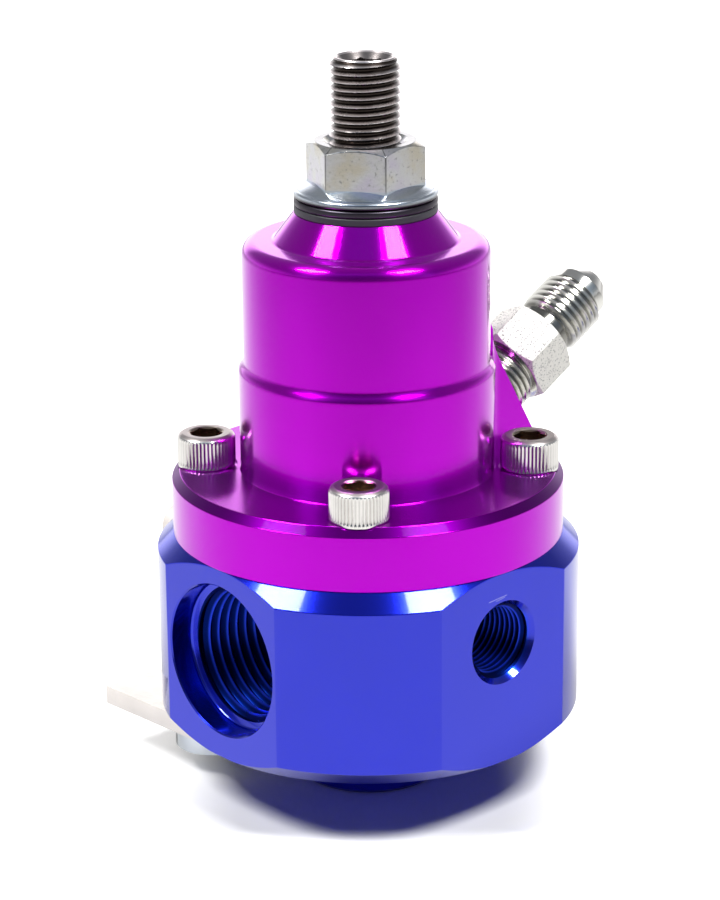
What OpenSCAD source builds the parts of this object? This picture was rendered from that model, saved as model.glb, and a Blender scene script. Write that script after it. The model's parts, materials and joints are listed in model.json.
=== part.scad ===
// Bypass fuel pressure regulator: a spring loaded diaphragm lifts a valve off its seat.
// Lengths are in millimetres. The origin is the centre of the bottom boss, on the face
// that the regulator stands on, and +Z runs up the spring's axis.
// The gauge port faces -Y, the side ports face -X and +X, and the bracket is at the back, +Y.

/* [Body] */
// Diameter of the round bar that the body is cut from
body_d = 57.8; // [55:0.1:64]
// Depth of each of the four milled flats below the round
flat_depth = 2.3; // [1.5:0.1:3]
// Height of the body between its end faces
body_h = 26.8; // [25:0.1:34]
// Turned chamfer round the body's top and bottom edges
body_chamfer = 2.2; // [0.5:0.1:2.6]
// Diameter of the boss under the body
boss_d = 21; // [19:0.1:24]
// Height of the boss under the body
boss_h = 8.9; // [8:0.1:12]
// Chamfer on the boss's lower edge
boss_chamfer = 0.5; // [0.2:0.1:1]

/* [Side ports] */
// Major diameter of the thread in the two side ports
port_thread_d = 19.05; // [16:0.05:20]
// Diameter of the smooth mouth in front of the thread
port_mouth_d = 21; // [20.6:0.1:22]
// Depth of the straight part of the mouth
port_mouth_depth = 3.5; // [1:0.1:4]
// Depth of the shallow cone between the mouth and the thread
port_cone_depth = 0.3; // [0.2:0.1:1.2]
// Length of the threaded wall
port_thread_depth = 11.6; // [10.4:0.1:12]
// Diameter of the drilled way from the thread to the chamber
port_drill_d = 15; // [12:0.1:15.4]
// Height of the ports' axis above the body's lower face
port_rise = 13.9; // [13:0.1:15]

/* [Gauge port] */
// Major diameter of the thread in the gauge port
gauge_thread_d = 10.3; // [9:0.05:11]
// Diameter of the countersunk mouth
gauge_mouth_d = 11.6; // [11.2:0.1:13]
// Depth of the countersink
gauge_cone_depth = 0.8; // [0.4:0.1:1.2]
// Length of the threaded wall
gauge_thread_depth = 9.5; // [7:0.1:11]
// Diameter of the drilled way from the thread to the chamber
gauge_drill_d = 7.6; // [4:0.1:8.5]
// Height of the gauge port's axis above the body's lower face
gauge_rise = 17.1; // [15:0.1:18]

/* [Return port] */
// Major diameter of the thread in the return port
return_thread_d = 14.3; // [12:0.05:15]
// Diameter of the countersunk mouth
return_mouth_d = 16; // [15.5:0.1:17]
// Depth of the countersink
return_cone_depth = 1; // [0.5:0.1:1.5]
// Length of the threaded wall
return_thread_depth = 8.6; // [7:0.1:9.5]

/* [Bonnet] */
// How far the flange's side stands inside the body's round
flange_inset = 2.2; // [1.6:0.1:3]
// Thickness of the flange
flange_t = 8.6; // [7:0.1:11]
// Chamfer on the flange's upper edge
flange_chamfer = 1.1; // [0.4:0.1:1.6]
// Diameter of the tower's lower part
tower_d = 34.7; // [33:0.1:36]
// How far the tower's upper part stands back
tower_relief = 0.7; // [0.3:0.1:1.2]
// Height of the step's lower edge above the flange
step_rise = 14; // [13:0.1:17]
// Height of the sloping step
step_h = 1.2; // [0.6:0.1:2]
// Height of the tower's flat shoulder above the flange
tower_h = 31.8; // [30:0.1:38]
// Radius on the tower's shoulder
shoulder_r = 1.8; // [0.8:0.1:2]
// Diameter of the cone at its foot, on the shoulder
cone_d = 25; // [22:0.1:28]
// Diameter of the neck on top of the cone, and of the washers on it
neck_d = 19.2; // [18:0.1:21]
// Height of the cone
cone_h = 3.8; // [2.5:0.1:5]
// Thickness of the roof over the spring bore
roof_t = 9.4; // [8:0.1:10]

/* [Boost reference boss] */
// Angle of the fitting's axis above the horizontal
boost_tilt = 30; // [26:1:34]
// Width of the boss
boost_w = 15; // [13:0.1:16]
// Fillet between the boss and the tower
boost_fillet = 4; // [2:0.1:5]
// Distance of the slanted face's foot inside the flange's chamfer
boost_setback = 0.4; // [0.1:0.1:0.8]
// Distance of the fitting's axis from that edge, along the slanted face
boost_axis_up = 6.5; // [6.3:0.1:7]
// Diameter of the pressure passage into the spring bore
boost_passage_d = 2.4; // [1.5:0.1:3]

/* [Boost reference fitting] */
// Diameter of the tapered pipe thread
pipe_thread_d = 10.1; // [9:0.05:10.6]
// Length of pipe thread inside the boss
pipe_engaged = 4.2; // [3:0.1:4.6]
// Length of pipe thread that shows
pipe_exposed = 5.2; // [4:0.1:7]
// Distance across the flats of the fitting's hexagon
boost_hex_af = 11.11; // [10.6:0.01:12.7]
// Length of the hexagon
boost_hex_len = 7.2; // [5:0.1:8]
// Turn of the hexagon about its axis
boost_hex_turn = 6.7; // [0:0.1:60]
// Diameter of the hose thread
hose_thread_d = 9.525; // [8:0.005:10.2]
// Length from the hexagon to the tip
hose_end_len = 12.4; // [10.4:0.1:14]
// Length of the plain neck between the hexagon and the hose thread
hose_neck_len = 1.3; // [0.4:0.1:2]
// Length of the plain collar behind the sealing cone
hose_collar_len = 1.5; // [1:0.1:2]
// Length of the sealing cone
hose_cone_len = 2.2; // [1.5:0.1:2.6]
// Angle of the sealing cone to its axis
flare_angle = 37; // [35:1:45]
// Height of the hose thread over the collar
hose_thread_h = 0.8; // [0.5:0.1:1]
// Diameter of the hole through the fitting
boost_bore_d = 3.2; // [2.5:0.1:3.6]

/* [Fasteners] */
// Diameter of the cap screws' shanks
cap_shank_d = 4.83; // [4:0.01:5.2]
// Diameter of the cap screws' heads
cap_head_d = 7.92; // [7.2:0.01:8.2]
// Height of the cap screws' heads
cap_head_h = 4.83; // [4:0.01:5.5]
// Distance across the flats of the cap screws' sockets
cap_socket_af = 3.97; // [3:0.01:4.2]
// Depth of the cap screws' sockets
cap_socket_depth = 2.4; // [1.8:0.1:2.8]
// Length of the cap screws under the head
cap_len = 19.05; // [16:0.05:21]
// Depth of the spot faces under the cap screws' heads
cap_spot = 0.3; // [0.2:0.1:1]
// Diameter of the bracket screws' shanks
dome_shank_d = 6.35; // [5:0.01:6.6]
// Diameter of the bracket screws' domed heads
dome_head_d = 10.6; // [10:0.1:12]
// Height of the straight side of the bracket screws' heads
dome_side_h = 3.2; // [2.4:0.1:3.6]
// Height of the dome on the bracket screws' heads
dome_rise = 1.3; // [0.8:0.1:1.8]
// Distance across the flats of the bracket screws' sockets
dome_socket_af = 3.97; // [3:0.01:4.5]
// Depth of the bracket screws' sockets
dome_socket_depth = 2; // [1.5:0.1:2.4]
// Length of the bracket screws under the head
dome_len = 11; // [9:0.1:12]

/* [Bracket] */
// Thickness of the bracket's sheet
bracket_t = 2.6; // [1.5:0.1:3]
// Margin of the bracket's foot beside the screw heads
bracket_side = 2.1; // [1:0.1:4]
// Margin of the bracket's foot in front of the screw heads
bracket_lead = 2; // [1:0.1:3]
// How far each side of the bracket's foot draws in towards the front
bracket_taper = 0.9; // [0:0.1:1.6]
// Room round the boss in the bracket's notch
notch_room = 0.8; // [0.4:0.1:1.6]
// Gap between the body's rear flat and the upright
bracket_gap = 1.3; // [0.6:0.1:4]
// Width of the upright
upright_w = 24; // [22:0.1:34]
// Height of the upright above the foot's underside
upright_h = 27; // [24:0.1:40]
// Inside radius of the bend
bend_r = 1.6; // [0.8:0.1:3]
// Distance between the two mounting holes
mount_spacing = 13; // [11:0.1:14]
// Diameter of the mounting holes
mount_hole_d = 5.5; // [4:0.1:6]
// Distance of the mounting holes below the upright's top
mount_drop = 6; // [5.5:0.1:8]

/* [Adjuster] */
// Major diameter of the adjusting screw's thread
adjuster_d = 9.525; // [8:0.005:10]
// Length of the adjusting screw
adjuster_len = 35.3; // [34:0.1:36]
// Length of the adjusting screw that shows above the nut
adjuster_exposed = 11.1; // [10.4:0.1:12]
// Distance across the flats of the adjusting screw's socket
adjuster_socket_af = 4.76; // [4:0.01:5]
// Depth of the adjusting screw's socket
adjuster_socket_depth = 4.5; // [3:0.1:6]
// Depth of the countersink over that socket
adjuster_sink_depth = 1; // [0.4:0.1:1.4]
// Distance across the flats of the jam nut
nut_af = 14; // [13.5:0.01:15]
// Resting turn of the jam nut about its axis
nut_turn = 7.2; // [0:0.1:60]
// Height of the jam nut with its flange
nut_h = 7.6; // [7:0.1:9]
// Height of the flange's rim
nut_rim_h = 1.2; // [0.8:0.1:1.6]
// Height at which the flange's dome meets the axis of the corners
nut_dome_h = 2.1; // [1.7:0.1:3]
// Thickness of each of the two washers under the nut
washer_t = 1; // [0.6:0.05:1.5]

/* [Spring and valve] */
// Outside diameter of the main spring
spring_d = 21.6; // [20:0.1:22.4]
// Diameter of the spring's wire
wire_d = 2.6; // [2:0.05:2.8]
// Number of turns, the closed end turns included
spring_turns = 6.5; // [5.5:0.25:6.75]
// Room round the spring in the bonnet
spring_room = 1.7; // [1.2:0.1:2]
// Thickness of the diaphragm
diaphragm_t = 1; // [0.6:0.05:1.6]
// Land between the diaphragm's pocket and the cap screws
seal_land = 0.8; // [0.5:0.1:1.2]
// Free width of the diaphragm between its plates and its clamped rim
convolution_w = 3; // [2:0.1:3.4]
// Depth of the recess under the diaphragm
lower_room = 0.8; // [0.4:0.1:1.2]
// Diameter of the well round the valve seat
well_d = 18.8; // [18.2:0.1:19.2]
// Thickness of the two diaphragm plates
plate_t = 1.6; // [1:0.1:2]
// Width of the upper plate's rim round the spring
plate_rim_w = 1.2; // [0.8:0.1:1.6]
// Height of the upper plate's rim
plate_rim_h = 1.5; // [0.8:0.1:2]
// Travel of the valve off its seat
valve_lift = 1; // [0.5:0.1:1.4]
// Depth of the valve seat's lip below the body's upper face
seat_drop = 10.7; // [10:0.1:11.5]
// Diameter of the way through the valve seat
seat_bore_d = 6.4; // [5:0.1:7]
// Diameter of the valve seat's nozzle
seat_nozzle_d = 10; // [9.4:0.1:11]
// Diameter of the valve seat's flange
seat_flange_d = 17; // [16.4:0.1:18]
// Width of the valve seat's flat lip
seat_lip_w = 0.6; // [0.3:0.1:1]
// Thickness of the valve seat's flange
seat_flange_t = 3; // [2.5:0.1:3.5]
// Diameter of the valve seat's shank in the body
seat_shank_d = 11.4; // [10.4:0.1:12]
// Length of the valve seat's shank in the body
seat_shank_len = 4.2; // [3.6:0.1:5]
// Thickness of the seal ring under the valve seat's flange
seal_ring_t = 1.4; // [1:0.1:1.6]
// Diameter of the valve's sealing disc
disc_d = 9.6; // [9:0.1:10.4]
// Thickness of the valve's sealing disc
disc_t = 1.8; // [1.2:0.1:2.2]
// Diameter of the valve holder
holder_d = 12.4; // [12:0.1:13.6]
// Height of the valve holder
holder_h = 3.4; // [3:0.1:4]
// Diameter of the valve's stem
stem_d = 4.8; // [4:0.1:5.4]
// Height of the stem's nut
stem_nut_h = 3.2; // [2.4:0.1:4]
// Distance across the flats of the stem's nut
stem_nut_af = 8; // [7.4:0.1:9]

/* [Fits] */
// Radial clearance of the running threads
thread_clear = 0.05; // [0.02:0.01:0.1]
// Radial clearance of the loose holes round the screws
hole_clear = 0.25; // [0.15:0.05:0.4]
// Radial clearance of a piece dropped into its recess
pocket_clear = 0.1; // [0.05:0.01:0.2]
// Gap between the valve's disc and its seat
seat_gap = 0.05; // [0.02:0.01:0.1]

/* [Hidden] */
$fn = 96;

// Overrun of a cutting shape past the face it opens
over = 1;
// Chamfer on small turned edges
edge = 0.4;
// Gap round a plate, spring or button that moves in its bore
slide_gap = 0.6;
// Gap between a spring and the edge that centres it
spring_gap = 0.3;
// Thirty degree chamfer on hexagon corners, as height over radius
hex_slope = tan(30);
corner_ratio = 1 / cos(30);
// How far a hexagon's round end face stands inside its flats
hex_inset = 0.3;

// Heights of the main faces
body_bottom = boss_h;
body_top = body_bottom + body_h;
flange_top = body_top + flange_t;
step_z = flange_top + step_rise;
ring_z = flange_top + tower_h;
neck_z = ring_z + cone_h;
roof_z = neck_z - roof_t;
seal_washer_z = neck_z;
nut_washer_z = seal_washer_z + washer_t;
nut_z = nut_washer_z + washer_t;
adjuster_top = nut_z + nut_h + adjuster_exposed;
adjuster_bottom = adjuster_top - adjuster_len;

// Body and screw circle
body_r = body_d / 2;
flat_r = body_r - flat_depth;
tower_r = tower_d / 2;
upper_r = tower_r - tower_relief;
flange_d = body_d - 2 * flange_inset;
bolt_r = (tower_d + flange_d) / 4;
cap_hole_r = cap_shank_d / 2 + hole_clear;
cap_tap_r = cap_shank_d / 2 + thread_clear;
cap_seat_z = flange_top - cap_spot;
cap_tap_spare = 1;
dome_tap_r = dome_shank_d / 2 + thread_clear;
port_z = body_bottom + port_rise;
gauge_z = body_bottom + gauge_rise;

// Chambers
spring_r = spring_d / 2;
bore_r = spring_r + spring_room;
plate_r = spring_r + plate_rim_w;
chamber_r = plate_r + convolution_w;
pocket_r = bolt_r - cap_hole_r - seal_land;
diaphragm_r = pocket_r - pocket_clear;
pocket_z = body_top - diaphragm_t;
upper_room = plate_t + plate_rim_h + valve_lift + slide_gap;
well_r = well_d / 2;
lower_plate_r = well_r - slide_gap;
well_sump = 0.6;
well_floor = port_z - port_drill_d / 2 - well_sump;

// Valve stack, upwards from the seat
seat_top = body_top - seat_drop;
seal_ring_mid_r = (seat_shank_d + seat_flange_d) / 4;
seal_groove_w = seal_ring_t + 2 * pocket_clear;
disc_z = seat_top + seat_gap;
disc_show = 0.6;
holder_z = disc_z + disc_show;
holder_top = holder_z + holder_h;
lower_plate_z = pocket_z - plate_t;
stem_shoulder = 1.2;
neck_r = stem_d / 2 + stem_shoulder;
upper_plate_top = body_top + plate_t;
stem_show = 0.6;
stem_top = upper_plate_top + stem_nut_h + stem_show;

// Spring and its button
button_socket_depth = 1.2;
button_boss_h = 1.6;
button_t = 3;
button_pilot_h = 2;
button_top = adjuster_bottom + button_socket_depth - button_boss_h;
button_z = button_top - button_t;
button_r = bore_r - slide_gap;
button_socket_r = adjuster_d / 2 + hole_clear;
button_wall = 1.8;
button_boss_r = button_socket_r + button_wall;
button_pilot_r = spring_r - wire_d - spring_gap;
spring_h = button_z - upper_plate_top;
spring_sides = 10;
spring_steps = 24;
ground_share = 0.15;
closed_pitch = 1.04;
spring_inset = ground_share * wire_d;
end_pitch = closed_pitch * wire_d;
mid_pitch = (spring_h - 2 * spring_inset - 2 * end_pitch) / (spring_turns - 2);

// Boss and bracket
boost_reach = flange_d / 2 - flange_chamfer - boost_setback;
boost_hole_spare = 0.8;
bracket_z = body_bottom - bracket_t;
bolt_xy = bolt_r * cos(45);
bracket_rear = flat_r + bracket_gap + bracket_t;
bracket_front = bolt_xy - dome_head_d / 2 - bracket_lead;
bracket_w = 2 * (bolt_xy + dome_head_d / 2 + bracket_side);
bracket_notch_r = boss_d / 2 + notch_room;
bend_z = bracket_z + bracket_t + bend_r;
bend_y = bracket_rear - bracket_t - bend_r;
relief_w = 1.5;
upright_round = 3;

// A hexagonal prism given by its distance across flats
module hexagon(af, h) {
    cylinder(d = af * corner_ratio, h = h, $fn = 6);
}

// Turned blank of a hexagon, half of it, with the corners chamfered at its upper end
module hex_blank(af, z, h) {
    face_r = af / 2 - hex_inset;
    wide_r = af / 2 * corner_ratio + over;
    polygon([
        [0, z], [wide_r, z], [wide_r, z + h - (wide_r - face_r) * hex_slope], [face_r, z + h], [0, z + h]
    ]);
}

// A plain ring
module ring(r_out, r_in, h) {
    difference() {
        cylinder(r = r_out, h = h);
        translate([0, 0, -over]) cylinder(r = r_in, h = h + 2 * over);
    }
}

// Copies on the diagonals of the screw circle
module on_diagonals(angles) {
    for (a = angles) rotate([0, 0, a]) translate([bolt_r, 0, 0]) children();
}

// A threaded hole with its mouth at z = 0, cut downwards: mouth, cone, thread and drilled way
module port(mouth_d, mouth_depth, cone_depth, thread_d, thread_depth, drill_d, reach) {
    thread_top = mouth_depth + cone_depth;
    thread_end = thread_top + thread_depth;
    drill_point = (thread_d - drill_d) / 2 * hex_slope;
    rotate_extrude()
    polygon([
        [0, over], [mouth_d / 2, over], [mouth_d / 2, -mouth_depth], [thread_d / 2, -thread_top],
        [thread_d / 2, -thread_end], [drill_d / 2, -thread_end - drill_point],
        [drill_d / 2, -reach], [0, -reach]
    ]);
}

// Places the side ports, the gauge port and the return port with their mouths outwards
module on_side(turn, height, reach) {
    rotate([0, 0, turn]) translate([reach, 0, height]) rotate([0, 90, 0]) children();
}

// Outer form of the body: turned bar with four milled flats, on its boss
module body_blank() {
    intersection() {
        rotate_extrude()
        polygon([
            [0, body_bottom], [body_r - body_chamfer, body_bottom],
            [body_r, body_bottom + body_chamfer], [body_r, body_top - body_chamfer],
            [body_r - body_chamfer, body_top], [0, body_top]
        ]);
        translate([-flat_r, -flat_r, body_bottom]) cube([2 * flat_r, 2 * flat_r, body_h]);
    }
    rotate_extrude()
    polygon([
        [0, 0], [boss_d / 2 - boss_chamfer, 0], [boss_d / 2, boss_chamfer],
        [boss_d / 2, body_bottom + over], [0, body_bottom + over]
    ]);
}

// Chamber under the diaphragm, the well round the seat and the seat's own hole
module body_chamber() {
    translate([0, 0, pocket_z]) cylinder(r = pocket_r, h = diaphragm_t + over);
    translate([0, 0, pocket_z - lower_room]) cylinder(r = chamber_r, h = lower_room + over);
    translate([0, 0, well_floor]) cylinder(r = well_r, h = pocket_z - well_floor);
    translate([0, 0, well_floor - seal_ring_t])
        ring(seal_ring_mid_r + seal_groove_w / 2, seal_ring_mid_r - seal_groove_w / 2, seal_ring_t + over);
    translate([0, 0, well_floor - seat_shank_len])
        cylinder(r = seat_shank_d / 2 + thread_clear, h = seat_shank_len + over);
}

module body() {
    cap_hole_bottom = cap_seat_z - cap_len - cap_tap_spare;
    drill_reach = flat_r - well_r / 2;
    color("royalblue")
    difference() {
        body_blank();
        body_chamber();
        for (turn = [0, 180])
            on_side(turn, port_z, flat_r)
                port(port_mouth_d, port_mouth_depth, port_cone_depth, port_thread_d,
                     port_thread_depth, port_drill_d, drill_reach);
        on_side(-90, gauge_z, flat_r)
            port(gauge_mouth_d, 0, gauge_cone_depth, gauge_thread_d,
                 gauge_thread_depth, gauge_drill_d, drill_reach);
        mirror([0, 0, 1])
            port(return_mouth_d, 0, return_cone_depth, return_thread_d,
                 return_thread_depth, seat_bore_d, well_floor);
        on_diagonals([45, 135, 225, 315])
            translate([0, 0, cap_hole_bottom]) cylinder(r = cap_tap_r, h = body_top + over - cap_hole_bottom);
        on_diagonals([45, 135])
            translate([0, 0, body_bottom - over])
                cylinder(r = dome_tap_r, h = dome_len - bracket_t + cap_tap_spare + over);
    }
}

// Turned outline of the bonnet, half of it
module bonnet_outline() {
    polygon([
        [0, body_top], [flange_d / 2, body_top], [flange_d / 2, flange_top - flange_chamfer],
        [flange_d / 2 - flange_chamfer, flange_top], [tower_r, flange_top], [tower_r, step_z],
        [upper_r, step_z + step_h], [upper_r, ring_z - shoulder_r], [upper_r - shoulder_r, ring_z],
        [cone_d / 2, ring_z], [neck_d / 2, neck_z], [0, neck_z]
    ]);
    translate([upper_r - shoulder_r, ring_z - shoulder_r]) circle(r = shoulder_r);
}

// Places a piece on the fitting's axis: z = 0 on the slanted face, +Z out of it
module on_boost_axis() {
    translate([boost_reach, 0, flange_top])
        rotate([0, 90 - boost_tilt, 0])
            translate([-boost_axis_up, 0, 0]) children();
}

// Plan of the boss: straight sides that run into the tower with a fillet
module boost_plan() {
    half = boost_w / 2;
    fillet_y = half + boost_fillet;
    fillet_x = sqrt(pow(tower_r + boost_fillet, 2) - pow(fillet_y, 2));
    translate([0, -half]) square([flange_d / 2, boost_w]);
    for (side = [0, 1])
        mirror([0, side])
            difference() {
                polygon([[0, 0], [fillet_x, 0], [fillet_x, fillet_y]]);
                translate([fillet_x, fillet_y]) circle(r = boost_fillet);
            }
}

// Wedge shaped boss: its plan raised from the flange and cut off square to the fitting's axis
module boost_boss() {
    cut = 4 * tower_d;
    intersection() {
        difference() {
            translate([0, 0, flange_top - flange_chamfer])
                linear_extrude(height = tower_h) boost_plan();
            on_boost_axis() translate([-cut / 2, -cut / 2, 0]) cube(cut);
        }
        cylinder(r = flange_d / 2 - flange_chamfer, h = neck_z);
    }
}

module bonnet() {
    chamber_top = body_top + upper_room;
    boost_hole_depth = pipe_engaged + boost_hole_spare;
    color("darkviolet")
    difference() {
        union() {
            rotate_extrude() bonnet_outline();
            boost_boss();
        }
        translate([0, 0, body_top - over]) cylinder(r = chamber_r, h = upper_room + over);
        translate([0, 0, chamber_top - over]) cylinder(r = bore_r, h = roof_z - chamber_top + over);
        translate([0, 0, roof_z - over])
            cylinder(r = adjuster_d / 2 + thread_clear, h = roof_t + 2 * over);
        on_diagonals([45, 135, 225, 315]) {
            translate([0, 0, body_top - over]) cylinder(r = cap_hole_r, h = flange_t + 2 * over);
            translate([0, 0, cap_seat_z]) cylinder(r = cap_head_d / 2 + hole_clear, h = cap_spot + over);
        }
        on_boost_axis() {
            translate([0, 0, -boost_hole_depth])
                cylinder(r = pipe_thread_d / 2 + thread_clear, h = boost_hole_depth + over);
            translate([0, 0, -tower_r]) cylinder(d = boost_passage_d, h = tower_r);
        }
    }
}

// Socket head cap screw, its head's underside at z = 0
module cap_screw() {
    difference() {
        rotate_extrude()
        polygon([
            [0, -cap_len], [cap_shank_d / 2 - edge, -cap_len], [cap_shank_d / 2, edge - cap_len],
            [cap_shank_d / 2, 0], [cap_head_d / 2, 0], [cap_head_d / 2, cap_head_h - edge],
            [cap_head_d / 2 - edge, cap_head_h], [0, cap_head_h]
        ]);
        translate([0, 0, cap_head_h - cap_socket_depth]) hexagon(cap_socket_af, cap_socket_depth + over);
    }
}

module cap_screws() {
    color("lightgray")
    on_diagonals([45, 135, 225, 315]) translate([0, 0, cap_seat_z]) cap_screw();
}

module boost_fitting() {
    hex_end = pipe_exposed + boost_hex_len;
    neck_end = hex_end + hose_neck_len;
    tip = hex_end + hose_end_len;
    pipe_r = pipe_thread_d / 2;
    hose_r = hose_thread_d / 2;
    collar_r = hose_r - hose_thread_h;
    collar_z = tip - hose_cone_len - hose_collar_len;
    color("gainsboro")
    on_boost_axis()
    difference() {
        union() {
            rotate_extrude()
            polygon([
                [0, -pipe_engaged], [pipe_r - edge, -pipe_engaged], [pipe_r, edge - pipe_engaged],
                [pipe_r, pipe_exposed - edge], [pipe_r - edge, pipe_exposed], [pipe_r - edge, hex_end],
                [collar_r, hex_end], [collar_r, neck_end], [hose_r, neck_end + hose_thread_h],
                [hose_r, collar_z - edge], [collar_r, collar_z + edge], [collar_r, tip - hose_cone_len],
                [collar_r - hose_cone_len * tan(flare_angle), tip], [0, tip]
            ]);
            intersection() {
                translate([0, 0, pipe_exposed])
                    rotate([0, 0, boost_hex_turn]) hexagon(boost_hex_af, boost_hex_len);
                rotate_extrude() hex_blank(boost_hex_af, 0, hex_end);
                mirror([0, 0, 1]) rotate_extrude() hex_blank(boost_hex_af, -tip, tip - pipe_exposed);
            }
        }
        translate([0, 0, -pipe_engaged - over])
            cylinder(d = boost_bore_d, h = pipe_engaged + tip + 2 * over);
    }
}

// Outline of the bracket's foot, with the notch round the boss and slits beside the bend
module bracket_foot() {
    difference() {
        polygon([
            [-bracket_w / 2, bracket_rear], [bracket_taper - bracket_w / 2, bracket_front],
            [bracket_w / 2 - bracket_taper, bracket_front], [bracket_w / 2, bracket_rear]
        ]);
        circle(r = bracket_notch_r);
        translate([-upright_w / 2, bend_y]) square([upright_w, bracket_rear]);
        for (side = [0, 1])
            mirror([side, 0])
                translate([upright_w / 2, bend_y - relief_w]) square([relief_w, bracket_rear]);
    }
}

// The folded bend between the foot and the upright
module bracket_bend() {
    translate([-upright_w / 2, bend_y, bend_z])
    rotate([0, 90, 0])
    intersection() {
        ring(bend_r + bracket_t, bend_r, upright_w);
        cube([bend_r + bracket_t, bend_r + bracket_t, upright_w]);
    }
}

// Outline of the upright above the bend, with round top corners and two mounting holes
module bracket_upright() {
    top = bracket_z + upright_h;
    difference() {
        union() {
            translate([-upright_w / 2, bend_z]) square([upright_w, top - upright_round - bend_z]);
            translate([upright_round - upright_w / 2, bend_z])
                square([upright_w - 2 * upright_round, top - bend_z]);
            for (side = [-1, 1])
                translate([side * (upright_w / 2 - upright_round), top - upright_round])
                    circle(r = upright_round);
        }
        for (side = [-1, 1])
            translate([side * mount_spacing / 2, top - mount_drop]) circle(d = mount_hole_d);
    }
}

module mounting_bracket() {
    color("antiquewhite")
    difference() {
        union() {
            translate([0, 0, bracket_z]) linear_extrude(height = bracket_t) bracket_foot();
            bracket_bend();
            translate([0, bracket_rear, 0])
                rotate([90, 0, 0]) linear_extrude(height = bracket_t) bracket_upright();
        }
        on_diagonals([45, 135])
            translate([0, 0, bracket_z - over])
                cylinder(r = dome_shank_d / 2 + hole_clear, h = bracket_t + 2 * over);
    }
}

// Domed screw that points upwards, its head's bearing face at z = 0
module dome_screw() {
    head_h = dome_side_h + dome_rise;
    dome_r = (pow(dome_head_d / 2, 2) + pow(dome_rise, 2)) / (2 * dome_rise);
    difference() {
        union() {
            intersection() {
                translate([0, 0, dome_r - head_h]) sphere(r = dome_r);
                translate([0, 0, -head_h]) cylinder(d = dome_head_d, h = head_h);
            }
            rotate_extrude()
            polygon([
                [0, -edge], [dome_shank_d / 2, -edge], [dome_shank_d / 2, dome_len - edge],
                [dome_shank_d / 2 - edge, dome_len], [0, dome_len]
            ]);
        }
        translate([0, 0, -head_h - over]) hexagon(dome_socket_af, dome_socket_depth + over);
    }
}

module bracket_screws() {
    color("silver")
    on_diagonals([45, 135]) translate([0, 0, bracket_z]) dome_screw();
}

module adjusting_screw() {
    sink_r = adjuster_d / 2 - 2 * edge;
    color("dimgray")
    difference() {
        rotate_extrude()
        polygon([
            [0, adjuster_bottom], [adjuster_d / 2 - edge, adjuster_bottom],
            [adjuster_d / 2, adjuster_bottom + edge], [adjuster_d / 2, adjuster_top - 2 * edge],
            [adjuster_d / 2 - edge, adjuster_top], [0, adjuster_top]
        ]);
        translate([0, 0, adjuster_top - adjuster_socket_depth])
            hexagon(adjuster_socket_af, adjuster_socket_depth + over);
        translate([0, 0, adjuster_top - adjuster_sink_depth])
            cylinder(r1 = adjuster_socket_af / 2, r2 = sink_r, h = adjuster_sink_depth);
    }
}

// Hexagon nut with a domed flange
module jam_nut() {
    rim_r = neck_d / 2;
    dome_r = nut_af / 2 - hex_inset;
    hex_top = nut_z + nut_h;
    thread_r = adjuster_d / 2 + thread_clear;
    rim_round = nut_rim_h / 2;
    color("whitesmoke")
    difference() {
        union() {
            intersection() {
                translate([0, 0, nut_z]) rotate([0, 0, nut_turn]) hexagon(nut_af, nut_h);
                rotate_extrude() hex_blank(nut_af, nut_z - over, nut_h + over);
            }
            rotate_extrude() {
                polygon([
                    [0, nut_z], [rim_r - rim_round, nut_z], [rim_r - rim_round, nut_z + nut_rim_h],
                    [dome_r, nut_z + nut_dome_h], [0, nut_z + nut_dome_h]
                ]);
                translate([rim_r - rim_round, nut_z + rim_round]) circle(r = rim_round);
            }
        }
        translate([0, 0, nut_z - over]) cylinder(r = thread_r, h = nut_h + 2 * over);
        translate([0, 0, hex_top - 2 * edge]) cylinder(r1 = thread_r, r2 = thread_r + 2 * edge, h = 2 * edge);
    }
}

module nut_washer() {
    color("slategray")
    translate([0, 0, nut_washer_z]) ring(neck_d / 2, adjuster_d / 2 + hole_clear, washer_t);
}

module seal_washer() {
    color("black")
    translate([0, 0, seal_washer_z]) ring(neck_d / 2, adjuster_d / 2 + hole_clear, washer_t);
}

// Upper spring seat, with a pilot in the spring and a socket for the adjusting screw
module spring_button() {
    color("goldenrod")
    difference() {
        union() {
            translate([0, 0, button_z]) cylinder(r = button_r, h = button_t);
            translate([0, 0, button_z - button_pilot_h])
                cylinder(r = button_pilot_r, h = button_pilot_h + over);
            translate([0, 0, button_top - over]) cylinder(r = button_boss_r, h = button_boss_h + over);
        }
        translate([0, 0, adjuster_bottom]) cylinder(r = button_socket_r, h = button_socket_depth + over);
    }
}

// Main spring: one wire swept round a helix whose end turns are closed and ground flat
function coil_rise(u) =
    u < 1 ? u * end_pitch :
    u < spring_turns - 1 ? end_pitch + (u - 1) * mid_pitch :
    end_pitch + (spring_turns - 2) * mid_pitch + (u - spring_turns + 1) * end_pitch;
function ground(z) = max(0, min(spring_h, z));
function wire_point(u, side) =
    let (around = 360 * side / spring_sides,
         r = spring_r - wire_d / 2 + wire_d / 2 * cos(around),
         z = spring_inset + coil_rise(u) + wire_d / 2 * sin(around))
    [r * cos(360 * u), r * sin(360 * u), ground(z)];

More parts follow.
